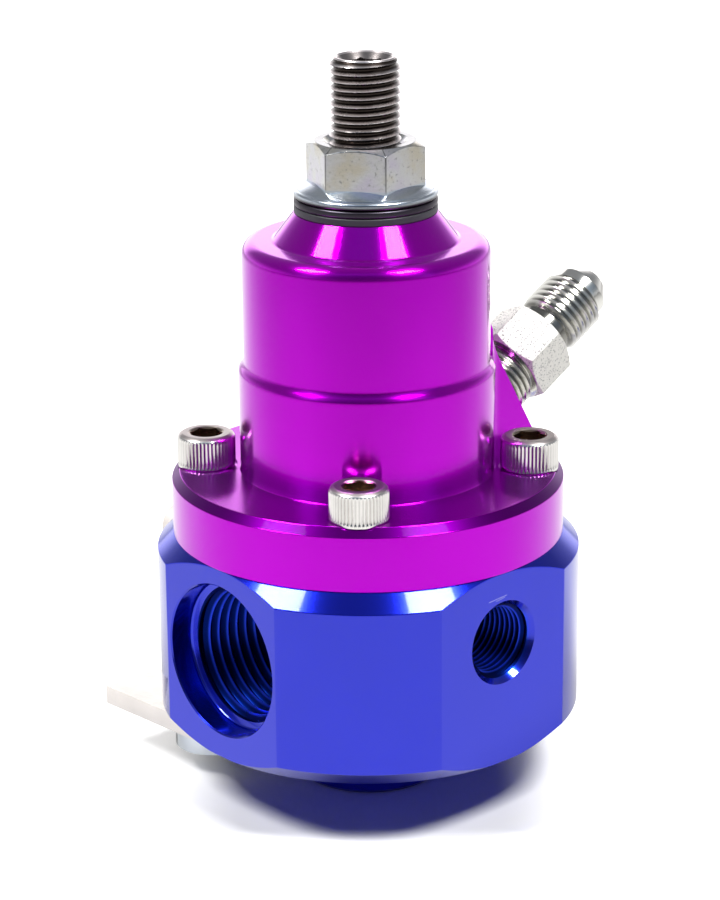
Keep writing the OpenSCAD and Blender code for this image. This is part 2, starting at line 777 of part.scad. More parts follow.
module main_spring() {
    rings = ceil(spring_turns * spring_steps);
    points = [
        for (i = [0:rings]) for (s = [0:spring_sides - 1]) wire_point(spring_turns * i / rings, s)
    ];
    sides = [
        for (i = [0:rings - 1]) for (s = [0:spring_sides - 1])
            let (next = (s + 1) % spring_sides, a = i * spring_sides, b = a + spring_sides)
            [a + s, b + s, b + next, a + next]
    ];
    first = [for (s = [0:spring_sides - 1]) s];
    last = [for (s = [spring_sides - 1:-1:0]) rings * spring_sides + s];
    color("darkgray")
    translate([0, 0, upper_plate_top])
        polyhedron(points = points, faces = concat([first], sides, [last]), convexity = 10);
}

module diaphragm() {
    color("saddlebrown")
    translate([0, 0, pocket_z]) ring(diaphragm_r, stem_d / 2 + pocket_clear, diaphragm_t);
}

// Plate on top of the diaphragm, which the spring sits on
module upper_plate() {
    color("lightsteelblue")
    difference() {
        translate([0, 0, body_top]) cylinder(r = plate_r, h = plate_t + plate_rim_h);
        translate([0, 0, upper_plate_top]) cylinder(r = spring_r + spring_gap, h = plate_rim_h + over);
        translate([0, 0, body_top - over]) cylinder(r = stem_d / 2 + pocket_clear, h = plate_t + 2 * over);
    }
}

module lower_plate() {
    color("lightsteelblue")
    translate([0, 0, lower_plate_z]) ring(lower_plate_r, stem_d / 2 + pocket_clear, plate_t);
}

// Valve holder and stem turned in one piece, with the disc's pocket underneath
module valve_stem() {
    pocket_top = disc_z + disc_t;
    color("gray")
    difference() {
        rotate_extrude()
        polygon([
            [0, holder_z], [holder_d / 2, holder_z], [holder_d / 2, holder_top - edge],
            [holder_d / 2 - edge, holder_top], [neck_r, holder_top], [neck_r, lower_plate_z],
            [stem_d / 2, lower_plate_z], [stem_d / 2, stem_top - edge], [stem_d / 2 - edge, stem_top],
            [0, stem_top]
        ]);
        translate([0, 0, holder_z - over])
            cylinder(r = disc_d / 2 + pocket_clear, h = pocket_top - holder_z + over);
    }
}

module stem_nut() {
    color("silver")
    translate([0, 0, upper_plate_top])
    difference() {
        hexagon(stem_nut_af, stem_nut_h);
        translate([0, 0, -over]) cylinder(r = stem_d / 2 + thread_clear, h = stem_nut_h + 2 * over);
    }
}

module valve_disc() {
    color("darkslategray")
    translate([0, 0, disc_z]) cylinder(d = disc_d, h = disc_t);
}

// Valve seat: a plug in the chamber's floor with a nozzle that ends in a narrow lip
module valve_seat() {
    lip_r = seat_bore_d / 2 + seat_lip_w;
    color("khaki")
    rotate_extrude()
    polygon([
        [seat_bore_d / 2, well_floor - seat_shank_len], [seat_shank_d / 2, well_floor - seat_shank_len],
        [seat_shank_d / 2, well_floor], [seat_flange_d / 2, well_floor],
        [seat_flange_d / 2, well_floor + seat_flange_t - edge],
        [seat_flange_d / 2 - edge, well_floor + seat_flange_t],
        [seat_nozzle_d / 2, well_floor + seat_flange_t], [seat_nozzle_d / 2, seat_top - edge],
        [lip_r, seat_top], [seat_bore_d / 2, seat_top]
    ]);
}

module seat_seal_ring() {
    color("black")
    translate([0, 0, well_floor - seal_ring_t / 2])
        rotate_extrude() translate([seal_ring_mid_r, 0]) circle(d = seal_ring_t);
}

body();
bonnet();
cap_screws();
boost_fitting();
mounting_bracket();
bracket_screws();
adjusting_screw();
jam_nut();
nut_washer();
seal_washer();
spring_button();
main_spring();
diaphragm();
upper_plate();
lower_plate();
valve_stem();
stem_nut();
valve_disc();
valve_seat();
seat_seal_ring();
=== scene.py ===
# Looks of the fuel pressure regulator: finely turned meshes, threads, knurls, finishes and studio
import json
import math

import bmesh
import bpy
import numpy as np
from mathutils import Matrix, Vector


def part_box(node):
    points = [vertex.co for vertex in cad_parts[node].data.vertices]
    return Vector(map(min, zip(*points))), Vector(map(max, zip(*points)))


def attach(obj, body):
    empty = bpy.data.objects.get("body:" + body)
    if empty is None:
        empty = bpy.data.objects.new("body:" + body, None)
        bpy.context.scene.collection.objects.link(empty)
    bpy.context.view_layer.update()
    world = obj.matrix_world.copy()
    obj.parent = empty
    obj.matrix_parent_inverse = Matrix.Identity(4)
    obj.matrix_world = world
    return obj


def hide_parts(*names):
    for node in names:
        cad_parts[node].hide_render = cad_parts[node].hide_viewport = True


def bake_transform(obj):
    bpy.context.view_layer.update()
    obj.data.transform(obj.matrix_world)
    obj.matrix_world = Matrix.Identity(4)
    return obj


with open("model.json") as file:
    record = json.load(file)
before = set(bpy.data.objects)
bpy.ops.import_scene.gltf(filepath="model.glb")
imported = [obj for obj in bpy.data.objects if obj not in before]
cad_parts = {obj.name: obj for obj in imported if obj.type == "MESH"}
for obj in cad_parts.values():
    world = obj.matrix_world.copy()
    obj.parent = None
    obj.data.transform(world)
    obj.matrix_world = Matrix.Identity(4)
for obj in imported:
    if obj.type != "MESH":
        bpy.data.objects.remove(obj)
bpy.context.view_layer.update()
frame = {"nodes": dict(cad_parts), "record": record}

# Lengths below are in millimetres and become metres when a mesh is made
MM = 0.001
FULL_TURN = 2 * math.pi
QUARTER = FULL_TURN / 4
SIXTH = FULL_TURN / 6


def span(node):
    """Lowest and highest corner of a CAD node in millimetres."""
    low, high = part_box(node)
    return low / MM, high / MM


def mount(name):
    """Place in millimetres, axis and dimensions of one of the record's mounts."""
    row = next(m for m in frame["record"]["mounts"] if m["name"] == name)
    return Vector(row["pos_m"]) / MM, Vector(row["axis"]), row["dims"]


# Sizes that the frame gives
body_high = span("body")[1]
bonnet_low, bonnet_high = span("bonnet")
FLAT_R = body_high.x
BODY_TOP = bonnet_low.z
FLANGE_R = bonnet_high.y
NECK_Z = bonnet_high.z
NUT_Z, NUT_TOP = span("jam_nut")[0].z, span("jam_nut")[1].z
NUT_RIM_R = span("jam_nut")[1].y
ADJUSTER_LOW, ADJUSTER_TOP = span("adjusting_screw")[0].z, span("adjusting_screw")[1].z
ADJUSTER_R = span("adjusting_screw")[1].x
CAP_TOP = span("cap_screws")[1].z
HEAD_R = 3.96
BOLT_XY = span("cap_screws")[1].x - HEAD_R

# Body
BODY_R = 28.9
BODY_CHAMFER = 2.2
BODY_BOTTOM = 8.9
BOSS_R = 10.5
BOSS_CHAMFER = 0.5
EDGE_BREAK = 0.18
POCKET_R = 18.56
POCKET_DEPTH = 1.0
CHAMBER_R = 15.0
LOWER_ROOM = 0.8
WELL_R = 9.4
WELL_FLOOR = 14.7
SEAT_HOLE_R = 5.75
SEAT_HOLE_DEPTH = 4.2
RETURN_MOUTH_R = 8.0
RETURN_CONE = 1.0

# Ports
PORT_MOUTH_R = 10.5
PORT_MOUTH_DEPTH = 3.5
PORT_CONE = 0.3
PORT_DRILL_R = 7.5
MOUTH_FILLET = 0.45
PORT_PITCH = 25.4 / 16
GAUGE_MOUTH_R = 5.8
GAUGE_CONE = 0.8
GAUGE_DRILL_R = 3.8
PIPE_PITCH = 25.4 / 27
RETURN_PITCH = 25.4 / 18
# Pitch of each port's thread, and its depth as a share of the pitch
PORT_THREADS = {
    "inlet_port": (PORT_PITCH, 0.54), "outlet_port": (PORT_PITCH, 0.54),
    "gauge_port": (PIPE_PITCH, 0.66), "return_port": (RETURN_PITCH, 0.54),
}

# Bonnet
FLANGE_T = 8.6
FLANGE_TOP = BODY_TOP + FLANGE_T
FLANGE_CHAMFER = 1.1
TOWER_R = 17.35
UPPER_R = 16.65
STEP_Z = FLANGE_TOP + 14.0
STEP_H = 1.2
STEP_EDGE = 0.14
STEP_EASE = 0.03
FOOT_FILLET = 0.12
BOSS_TOP = FLANGE_TOP + 19.0
RING_Z = FLANGE_TOP + 31.8
SHOULDER_R = 1.8
CONE_R = 12.5
NECK_R = 9.6
ROOF_Z = NECK_Z - 9.4
BORE_R = 12.5
UPPER_ROOM = 4.7
BOOST_TILT = math.radians(30)
BOOST_HALF = 7.5
BOOST_FILLET = 4.0
BOOST_REACH = FLANGE_R - FLANGE_CHAMFER - 0.4
BOOST_AXIS_UP = 6.5
PIPE_R = 5.05
PIPE_ENGAGED = 4.2

# Screws, nut and fitting
FINE_PITCH = 25.4 / 24
FINE_DEPTH = 0.6 * FINE_PITCH
CAP_HEAD_H = 4.83
CAP_SHANK_R = 2.415
CAP_LEN = 19.05
CAP_SOCKET_AF = 3.97
CAP_SOCKET_DEPTH = 2.4
SPOT_Z = CAP_TOP - CAP_HEAD_H
SCREW_ROOM = 0.25
THREAD_ROOM = 0.05
KNURL_TEETH = 48
KNURL_DEPTH = 0.17
ADJUSTER_SOCKET_AF = 4.76
ADJUSTER_SOCKET_DEPTH = 4.5
NUT_AF = 14.0
NUT_TURN = math.radians(7.2)
PIPE_SHOWN = 5.2
HEX_AF = 11.11
HEX_LEN = 7.2
HEX_TURN = math.radians(6.7)
HOSE_R = 4.7625
HOSE_LEN = 12.4
HOSE_NECK = 1.3
HOSE_COLLAR = 1.5
HOSE_CONE = 2.2
FITTING_BORE_R = 1.6

# Spring and diaphragm
WIRE_R = 1.3
SPRING_TURNS = 6.5
SPRING_SPLIT = 1.5
CLOSED_PITCH = 1.04
GROUND_SHARE = 0.15
STEM_HOLE_R = 2.5
DIAPHRAGM_SECTORS = 16

# Angles of hexagon chamfers, of a drill's point and of the flared nose
HEX_CHAMFER = math.radians(30)
DRILL_POINT = math.radians(30)
FLARE = math.radians(37)

# Points round a turned piece, a cutting tool, threads and the spring's wire, and rows in a turn of the wire
ROUND_STEPS = 192
TOOL_STEPS = 96
PORT_STEPS = 120
SCREW_STEPS = 144
KNURL_STEPS = 6 * KNURL_TEETH
WIRE_STEPS = 18
WIRE_ROWS = 60
# Largest step of a fillet, distance within which points are joined, and the angle from which an edge is crisp
ARC_STEP = math.radians(12)
CLOSE_POINTS = 2e-4
SHARP_EDGE = math.radians(24)

# One pitch of a thread: place along the pitch, and depth below the crest as a share of the whole
THREAD_FORM = (
    (0.00, 0.12), (0.03, 0.02), (0.065, 0.0), (0.10, 0.02), (0.13, 0.12),
    (0.42, 0.90), (0.47, 0.98), (0.565, 1.0), (0.66, 0.98), (0.71, 0.90),
)


class Ring:
    """A closed row of points round +Z: radius and height at each angle, and the seam's jump in rows."""

    def __init__(self, r, z, around=None, shift=0):
        self.r = r
        self.z = z
        self.around = around
        self.shift = shift


def even_angles(count):
    return np.arange(count) * (FULL_TURN / count)


def hex_radius(angles, af):
    """Radius of a hexagon with sharp corners at 0, 60 degrees and so on."""
    return af / 2 / np.cos(angles % SIXTH - SIXTH / 2)


def hex_corner(af, corner):
    """Radius of the centre of a rounded corner, and half the angle that the rounding takes up."""
    centre = (af / 2 - corner) / math.cos(SIXTH / 2)
    return centre, math.atan2(corner * math.sin(SIXTH / 2), centre + corner * math.cos(SIXTH / 2))


def round_hex_radius(angles, af, turn, corner):
    """Radius of a hexagon whose corners are rounded."""
    centre, end = hex_corner(af, corner)
    off = np.abs((angles - turn + SIXTH / 2) % SIXTH - SIXTH / 2)
    arc = centre * np.cos(off) + np.sqrt(np.maximum(corner**2 - (centre * np.sin(off)) ** 2, 0))
    return np.where(off < end, arc, af / 2 / np.cos(SIXTH / 2 - off))


def hex_angles(af, turn, corner, face_steps, corner_steps):
    """Angles that follow a rounded hexagon: close together on its corners."""
    _, end = hex_corner(af, corner)
    on_corner = np.linspace(-end, end, corner_steps, endpoint=False)
    on_face = np.linspace(end, SIXTH - end, face_steps, endpoint=False)
    one = np.concatenate((on_corner, on_face))
    return np.concatenate([turn + k * SIXTH + one for k in range(6)])


def rounded(points, closed=False):
    """Outline of (r, z, fillet) corners with each fillet drawn as a short arc; returns (r, z) points."""
    result = []
    count = len(points)
    for i, (r, z, fillet) in enumerate(points):
        here = np.array((r, z), float)
        if fillet == 0 or (not closed and i in (0, count - 1)):
            result.append((r, z))
            continue
        before = np.array(points[i - 1][:2], float) - here
        after = np.array(points[(i + 1) % count][:2], float) - here
        u = before / np.linalg.norm(before)
        v = after / np.linalg.norm(after)
        half = math.acos(np.clip(u @ v, -1, 1)) / 2
        centre = here + (u + v) / np.linalg.norm(u + v) * fillet / math.sin(half)
        start = here + u * fillet / math.tan(half) - centre
        end = here + v * fillet / math.tan(half) - centre
        a0 = math.atan2(start[1], start[0])
        sweep = (math.atan2(end[1], end[0]) - a0 + math.pi) % FULL_TURN - math.pi
        steps = max(2, math.ceil(abs(sweep) / ARC_STEP))
        for k in range(steps + 1):
            a = a0 + sweep * k / steps
            result.append((centre[0] + fillet * math.cos(a), centre[1] + fillet * math.sin(a)))
    return result


def lathe(points, closed=False):
    return [Ring(r, z) for r, z in rounded(points, closed)]


def thread_rings(angles, crest, depth, pitch, low, high, limit, inward=False):
    """Rows of a right-hand thread between two heights, cut back to the limit's radius at its ends."""
    turns = angles / FULL_TURN
    last = math.ceil((high - low) / pitch)
    rows = []
    for k in range(-1, last + 1):
        for place, share in THREAD_FORM:
            z = np.clip(low + pitch * (k + place + turns), low, high)
            r = crest + depth * share if inward else crest - depth * share
            rows.append((np.maximum(r, limit(z)) if inward else np.minimum(r, limit(z)), z))
    step = len(THREAD_FORM)
    return [Ring(r, z, None, min(step, len(rows) - 1 - i)) for i, (r, z) in enumerate(rows)]


def new_object(name, mesh):
    obj = bpy.data.objects.new(name, mesh)
    bpy.context.scene.collection.objects.link(obj)
    return obj


def ring_mesh(name, angles, rings, closed=False):
    """A solid of revolution: neighbouring rings are joined, and the ends are capped unless closed."""
    count = len(angles)
    rows = []
    for ring in rings:
        around = angles if ring.around is None else ring.around
        r = np.broadcast_to(ring.r, count)
        z = np.broadcast_to(ring.z, count)
        rows.append(np.column_stack((r * np.cos(around), r * np.sin(around), z)))
    total = len(rings)
    faces = []
    for i in range(total if closed else total - 1):
        j = (i + 1) % total
        a = i * count
        b = j * count
        faces += [(a + k, a + k + 1, b + k + 1, b + k) for k in range(count - 1)]
        seam_a = (i + rings[i].shift) * count
        seam_b = (j + rings[j].shift) * count
        faces.append((a + count - 1, seam_a, seam_b, b + count - 1))
    if not closed:
        faces.append(tuple(range(count))[::-1])
        faces.append(tuple((total - 1) * count + k for k in range(count)))
    mesh = bpy.data.meshes.new(name)
    mesh.from_pydata((np.vstack(rows) * MM).tolist(), [], faces)
    clean(mesh)
    return new_object(name, mesh)


def clean(mesh):
    """Joins points that coincide, drops faces without area and turns all faces outwards."""
    near = CLOSE_POINTS * MM
    bm = bmesh.new()
    bm.from_mesh(mesh)
    bmesh.ops.remove_doubles(bm, verts=bm.verts, dist=near)
    bmesh.ops.dissolve_degenerate(bm, edges=bm.edges, dist=near)
    bmesh.ops.recalc_face_normals(bm, faces=bm.faces)
    bm.to_mesh(mesh)
    bm.free()


def bake_modifiers(obj):
    graph = bpy.context.evaluated_depsgraph_get()
    mesh = bpy.data.meshes.new_from_object(obj.evaluated_get(graph))
    obj.modifiers.clear()
    obj.data = mesh


def cut(obj, tools):
    """Takes the tools' volumes out of a piece and deletes the tools."""
    for tool in tools:
        mod = obj.modifiers.new("cut", "BOOLEAN")
        mod.operation = "DIFFERENCE"
        mod.solver = "EXACT"
        mod.object = tool
    bake_modifiers(obj)
    for tool in tools:
        bpy.data.objects.remove(tool)


def shade(obj):
    """Smooth shading with crisp edges, led by the larger faces."""
    obj.data.shade_smooth()
    obj.data.set_sharp_from_angle(angle=SHARP_EDGE)
    mod = obj.modifiers.new("even_normals", "WEIGHTED_NORMAL")
    mod.keep_sharp = True


def move(obj, matrix):
    obj.data.transform(matrix)
    return obj


def along(axis, place):
    """Matrix that turns +Z to an axis and moves the origin to a place in millimetres."""
    turn = Vector((0, 0, 1)).rotation_difference(axis).to_matrix().to_4x4()
    return Matrix.Translation(Vector(place) * MM) @ turn


def fitting_place():
    """Matrix of the fitting's axis: the origin on the slanted face, +Z outwards."""
    up = Vector((-math.sin(BOOST_TILT), 0, math.cos(BOOST_TILT)))
    place = Vector((BOOST_REACH, 0, FLANGE_TOP)) + up * BOOST_AXIS_UP
    turn = Matrix.Rotation(math.pi / 2 - BOOST_TILT, 4, "Y")
    return Matrix.Translation(place * MM) @ turn


def dress(obj, slot, finish=None):
    """Gives a piece its shading and its finish."""
    shade(obj)
    obj.data.materials.clear()
    obj.data.materials.append(FINISHES[finish or slot])


def add_piece(obj, body, slot, *nodes, finish=None):
    """A piece that rides on a body and stands for CAD nodes, if any."""
    dress(obj, slot, finish)
    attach(obj, body)
    if nodes:
        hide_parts(*nodes)


def add_bending(obj, slot, node):
    """A piece that stands for a CAD node, with its place baked into its mesh."""
    dress(obj, slot)
    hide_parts(node)
    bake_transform(obj)


# Materials
def operator(operation):
    """A method of a value that adds a math node."""
    return lambda value, *others: value.nodes.math(operation, value, *others)


class Value:
    """An output of a node: sums and products add nodes, | takes the larger, < and > give masks of 0 and 1."""

    __add__ = operator("ADD")
    __sub__ = operator("SUBTRACT")
    __mul__ = operator("MULTIPLY")
    __mod__ = operator("MODULO")
    __or__ = operator("MAXIMUM")
    __lt__ = operator("LESS_THAN")
    __gt__ = operator("GREATER_THAN")
    __abs__ = operator("ABSOLUTE")

    def __init__(self, nodes, socket):
        self.nodes = nodes
        self.socket = socket

    def __rsub__(self, other):
        return self.nodes.math("SUBTRACT", other, self)

    def rise(self, low, high):
        """0 below a level, 1 above another, with a smooth step between them."""
        inputs = {"Value": self, "From Min": low, "From Max": high}
        return self.nodes.named("ShaderNodeMapRange", "Result", inputs, interpolation_type="SMOOTHSTEP")

    def fall(self, low, high):
        return 1.0 - self.rise(low, high)

    def spread(self, low, high):
        """Carries 0..1 over to low..high."""
        inputs = {"Value": self, "To Min": low, "To Max": high}
        return self.nodes.named("ShaderNodeMapRange", "Result", inputs)

    def ramp(self, *stops):
        """Colours, or levels of grey, at places between 0 and 1."""
        made = self.nodes.node("ShaderNodeValToRGB")
        self.nodes.feed(made.inputs[0], self)
        points = made.color_ramp.elements
        while len(points) < len(stops):
            points.new(0.5)
        for point, (place, color) in zip(points, stops):
            point.position = place
            point.color = (*color, 1) if isinstance(color, tuple) else (color, color, color, 1)
        return Value(self.nodes, made.outputs["Color"])


class Nodes:
    """A node tree and short ways to add nodes to it."""

    def __init__(self, tree):
        self.tree = tree

    def node(self, kind, **settings):
        made = self.tree.nodes.new(kind)
        for key, value in settings.items():
            setattr(made, key, value)
        return made

    def feed(self, socket, value):
        """Links an input to a value, or sets it to a number, a vector or a colour."""
        if isinstance(value, Value):
            self.tree.links.new(value.socket, socket)
        elif isinstance(value, tuple):
            socket.default_value = (*value, 1)
        else:
            socket.default_value = value

    def named(self, kind, output, inputs, **settings):
        """One output of a node whose inputs are fed by name or number."""
        made = self.node(kind, **settings)
        for socket, value in inputs.items():
            self.feed(made.inputs[socket], value)
        return Value(self, made.outputs[output])

    def joined(self, kind, output, *values, **settings):
        """One output of a node whose first inputs are fed in order."""
        return self.named(kind, output, dict(enumerate(values)), **settings)

    def math(self, operation, *values):
        return self.joined("ShaderNodeMath", 0, *values, operation=operation)

    def vectors(self, operation, *values):
        output = "Value" if operation in ("DOT_PRODUCT", "LENGTH") else "Vector"
        return self.joined("ShaderNodeVectorMath", output, *values, operation=operation)

    def axes(self, vector):
        """The three coordinates of a vector."""
        return [self.joined("ShaderNodeSeparateXYZ", axis, vector) for axis in "XYZ"]

    def radius(self, a, b):
        return self.math("SQRT", a * a + b * b)

    def mix(self, share, a, b, blend="MIX"):
        return self.named("ShaderNodeMix", 2, {0: share, 6: a, 7: b}, data_type="RGBA", blend_type=blend)


class Finish(Nodes):
    """A Principled material; x, y, z are a point's place in millimetres, r its distance from the Z axis."""

    def __init__(self, name, color, metallic, roughness, **sockets):
        self.name = name
        self.color = color
        self.material = bpy.data.materials.new(name)
        self.material.use_nodes = True
        super().__init__(self.material.node_tree)
        self.shader = self.tree.nodes["Principled BSDF"]
        self.set(Base_Color=color, Metallic=metallic, Roughness=roughness, **sockets)
        self.place = self.joined("ShaderNodeTexCoord", "Object")
        self.point = self.vectors("MULTIPLY", self.place, Vector((1, 1, 1)) / MM)
        self.x, self.y, self.z = self.axes(self.point)
        self.r = self.radius(self.x, self.y)

    def set(self, **sockets):
        """Feeds inputs of the shader; an underscore stands for a space in their names."""
        for socket, value in sockets.items():
            self.feed(self.shader.inputs[socket.replace("_", " ")], value)

    def linked(self, socket):
        """What feeds one of the shader's inputs so far."""
        return Value(self, self.shader.inputs[socket].links[0].from_socket)

    def mottle(self, scale, detail, low, high):
        """Lets the base colour vary between two shades of itself."""
        shades = tinted(self.color, low), tinted(self.color, high)
        self.set(Base_Color=self.mix(self.noise(scale, detail), *shades))

    def tint(self, mask, color, share=1.0):
        """Lays a colour over the base where a mask is 1."""
        self.set(Base_Color=self.mix(mask * share, self.linked("Base Color"), color))

    def duller(self, mask, more):
        """Adds to the roughness where a mask is 1."""
        self.set(Roughness=mask * more + self.linked("Roughness"))

    def noise(self, scale, detail, vector=None):
        inputs = {"Vector": vector or self.place, "Scale": scale, "Detail": detail}
        return self.named("ShaderNodeTexNoise", "Fac", inputs)

    def bump(self, height, strength, distance):
        inputs = {"Strength": strength, "Distance": distance, "Height": height}
        self.set(Normal=self.named("ShaderNodeBump", "Normal", inputs))

    def stroke(self, start, end, width):
        """A thin straight mark on the -Y flat between two places given as x and z."""
        length = math.dist(start, end)
        run = ((end[0] - start[0]) / length, (end[1] - start[1]) / length)
        right = self.x - start[0]
        up = self.z - start[1]
        far = right * run[0] + up * run[1]
        off = abs(right * run[1] - up * run[0])
        return (off < width / 2) * (far > 0.0) * (far < length) * (self.y < 0.05 - FLAT_R)

    def specks(self, spacing, size, share):
        """A mask of tiny scattered dots: how far apart, how large, and the share of places that have one."""
        cells = self.node("ShaderNodeTexVoronoi")
        self.feed(cells.inputs["Vector"], self.place)
        self.feed(cells.inputs["Scale"], 1 / (spacing * MM))
        color, distance = (Value(self, cells.outputs[name]) for name in ("Color", "Distance"))
        return (distance < size / spacing) * (self.joined("ShaderNodeSeparateColor", 0, color) < share)


# Dyes and marks of the finishes, and colours of painted shade, painted highlight and painted reflection
BLUE = (0.011, 0.022, 0.60)
PURPLE = (0.56, 0.0, 0.68)
SCRATCHES = (((-2.75, 32.32), (0.55, 32.58), 0.07), ((-1.47, 32.15), (0.18, 32.36), 0.06))
SCRATCH_COLOR = (0.75, 0.78, 0.95)
DUST_COLOR = (0.9, 0.86, 0.95)
# Painted shading of the ports' bores
PAINTED_BORE_SHADE = (0.006, 0.05, 0.75)
# Painted highlight on the ports' thread crests and painted shade in their valleys
THREAD_CREST_HIGHLIGHT = (0.02, 0.055, 0.70)
THREAD_VALLEY_SHADE = (0.001, 0.007, 0.09)
# Painted shade of the cap screws' sockets and their top rims
SOCKET_SHADE = (0.33, 0.25, 0.19)
RIM_SHADE = (0.56, 0.50, 0.485)
# Painted bluish reflection on the nut's flange, and painted shade under the nut
FLANGE_REFLECTION_TINT = (0.60, 0.70, 0.80)
UNDERSIDE_SHADE = (0.05, 0.045, 0.05)
# Painted shade in the fitting's thread valleys
FITTING_VALLEY_SHADE = (0.17, 0.165, 0.145)
ZINC_STAINS = ((1.0, 0.93, 0.76), (0.90, 0.84, 1.0))
# Turned lines in a millimetre, and heights of bumps in metres
LINE_SCALE = 4.2
LINE_BUMP = 0.00002
GRAIN_BUMP = 0.00003
SOFT_BUMP = 0.00005


def tinted(color, factor):
    return tuple(min(1.0, c * factor) for c in color)


def bore_shade_mask(finish):
    """Mask of painted shading in the body's ports: 1 on their walls, less on the ledge before the thread, 0
    outside.
    """
    depth = FLAT_R - (abs(finish.x) | abs(finish.y))
    ledge = depth.rise(PORT_MOUTH_DEPTH - 0.3, PORT_MOUTH_DEPTH - 0.05)
    ledge = ledge * (depth < PORT_MOUTH_DEPTH + PORT_CONE + 0.03)
    deep = depth.rise(0.1, 1.0) * (1.0 - ledge * 0.85)
    return deep * (finish.r < BODY_R - BODY_CHAMFER - 0.1) * (finish.z > BODY_BOTTOM + 0.2)


def body_detail(finish):
    """Scratches by the gauge port and painted shading in the ports' bores, a bluer colour under a thinner
    skin; returns a skin thin there and on the upper chamfer.
    """
    long, short = (finish.stroke(*scratch) for scratch in SCRATCHES)
    bore = bore_shade_mask(finish)
    slope = finish.r + finish.z > BODY_R + BODY_TOP - BODY_CHAMFER - 0.15
    finish.tint(long | short, SCRATCH_COLOR, 0.5)
    # Painted shading in the ports' bores, growing with depth
    finish.tint(bore, PAINTED_BORE_SHADE)
    return bore.spread(1.0, 0.5) * slope.spread(1.0, 0.42)


def bonnet_detail(finish):
    """Painted shade: a dark, dull chamfer round the flange and a darker top; returns a skin thin on both."""
    edge = finish.r > FLANGE_R - FLANGE_CHAMFER + 0.05
    edge = edge * (finish.z > FLANGE_TOP - FLANGE_CHAMFER + 0.05)
    level = abs(finish.z - FLANGE_TOP) < 0.01
    # Painted shade on the flange's chamfer and on its top
    finish.tint(edge, (PURPLE[0] * 0.24, 0.0, PURPLE[2] * 0.31))
    finish.tint(level, tinted(PURPLE, 0.8))
    finish.duller(edge, 0.28)
    return edge.spread(1.0, 0.1) * level.spread(1.0, 0.12)


def anodised(name, dye, roughness, line_strength, detail, **sockets):
    """Dyed anodised aluminium: clear glossy skin over a satin metal, with fine turned lines."""
    finish = Finish(name, dye, 0.95, roughness, Specular_IOR_Level=0.0, **sockets)
    finish.mottle(90, 3, 0.93, 1.05)
    finish.tint(finish.specks(7, 0.085, 0.22), DUST_COLOR)
    turned = finish.joined("ShaderNodeCombineXYZ", 0, finish.r * LINE_SCALE, 0.0, finish.z * LINE_SCALE)
    lines = finish.noise(1.0, 2, turned)
    finish.set(Roughness=lines.spread(roughness * 0.85, roughness * 1.15))
    finish.set(Coat_Weight=detail(finish))
    finish.bump(lines + finish.noise(5200, 2) * 0.6, line_strength, LINE_BUMP)
    return finish


def turned_metal(name, color, roughness, grain_scale=3500, grain=0.15, stains=None):
    """Bare or plated metal with a fine grain, uneven gloss and, where given, stains of colour."""
    finish = Finish(name, color, 1.0, roughness)
    finish.mottle(260, 4, 0.86, 1.08)
    if stains:
        patches = finish.noise(260, 3).ramp((0.30, stains[0]), (0.5, 1.0), (0.70, stains[1]))
        finish.set(Base_Color=finish.mix(0.9, finish.linked("Base Color"), patches, "MULTIPLY"))
    finish.set(Roughness=finish.noise(700, 3).spread(roughness * 0.7, roughness * 1.35))
    finish.bump(finish.noise(grain_scale, 3), grain, GRAIN_BUMP)
    return finish


def shaded_thread(name, crest, valley, roughness):
    """Steel screw with painted shade in its thread valleys, in part of its countersink and in its socket;
    crests and top stay bright.
    """
    finish = turned_metal(name, crest, roughness)
    crests = finish.r.rise(ADJUSTER_R - 0.5, ADJUSTER_R - 0.02)
    sink = (finish.r < ADJUSTER_R - 0.9) * (finish.z > ADJUSTER_TOP - 1.15)
    bright = crests | (finish.z > ADJUSTER_TOP - 0.2) | sink * 0.35
    # Painted shade wherever the screw is not a crest, its top or, in part, the countersink
    finish.tint(1.0 - bright, valley)
    return finish


def bored_thread(port):
    """Blue anodised thread of a port: painted highlight along its crests, painted shade in its valleys."""
    finish = turned_metal("blue_" + port, THREAD_CREST_HIGHLIGHT, 0.30)
    at, axis, dims = mount(port)
    pitch, share = PORT_THREADS[port]
    depth = pitch * share
    inner = dims["r_mm"] - depth
    off = finish.vectors("SUBTRACT", finish.point, Vector((0, 0, at.z)))
    across = finish.vectors("MULTIPLY", off, Vector([1 - abs(part) for part in axis]))
    # Painted shade in the thread's valleys
    finish.tint(finish.vectors("LENGTH", across).rise(inner + 0.02, inner + depth * 0.45), THREAD_VALLEY_SHADE)
    return finish


def socketed(name, color, roughness):
    """Screw steel with painted shade in the sockets, round their mouths and in the knurl's grooves, and a
    duller top rim painted darker.
    """
    finish = turned_metal(name, color, roughness)
    r = finish.radius(abs(finish.x) - BOLT_XY, abs(finish.y) - BOLT_XY)
    down = CAP_TOP - finish.z
    hole_r = 2.3
    # Painted shade: knurl grooves, the socket and its mouth, and the top rim darker
    groove = r.fall(HEAD_R - KNURL_DEPTH * 0.95, HEAD_R - KNURL_DEPTH * 0.45)
    groove = groove * (r > HEAD_R - KNURL_DEPTH - 0.1) * (down > 0.6)
    rim = down.fall(0.15, 0.45) * (r > hole_r)
    finish.tint((r < hole_r) * (down > 0.12), SOCKET_SHADE)
    finish.tint(groove, tinted(color, 0.78))
    finish.tint(rim, RIM_SHADE)
    finish.tint((r < hole_r + 0.15) * (down > 0.015), SOCKET_SHADE, 0.7)
    finish.duller(rim, 0.12)
    return finish


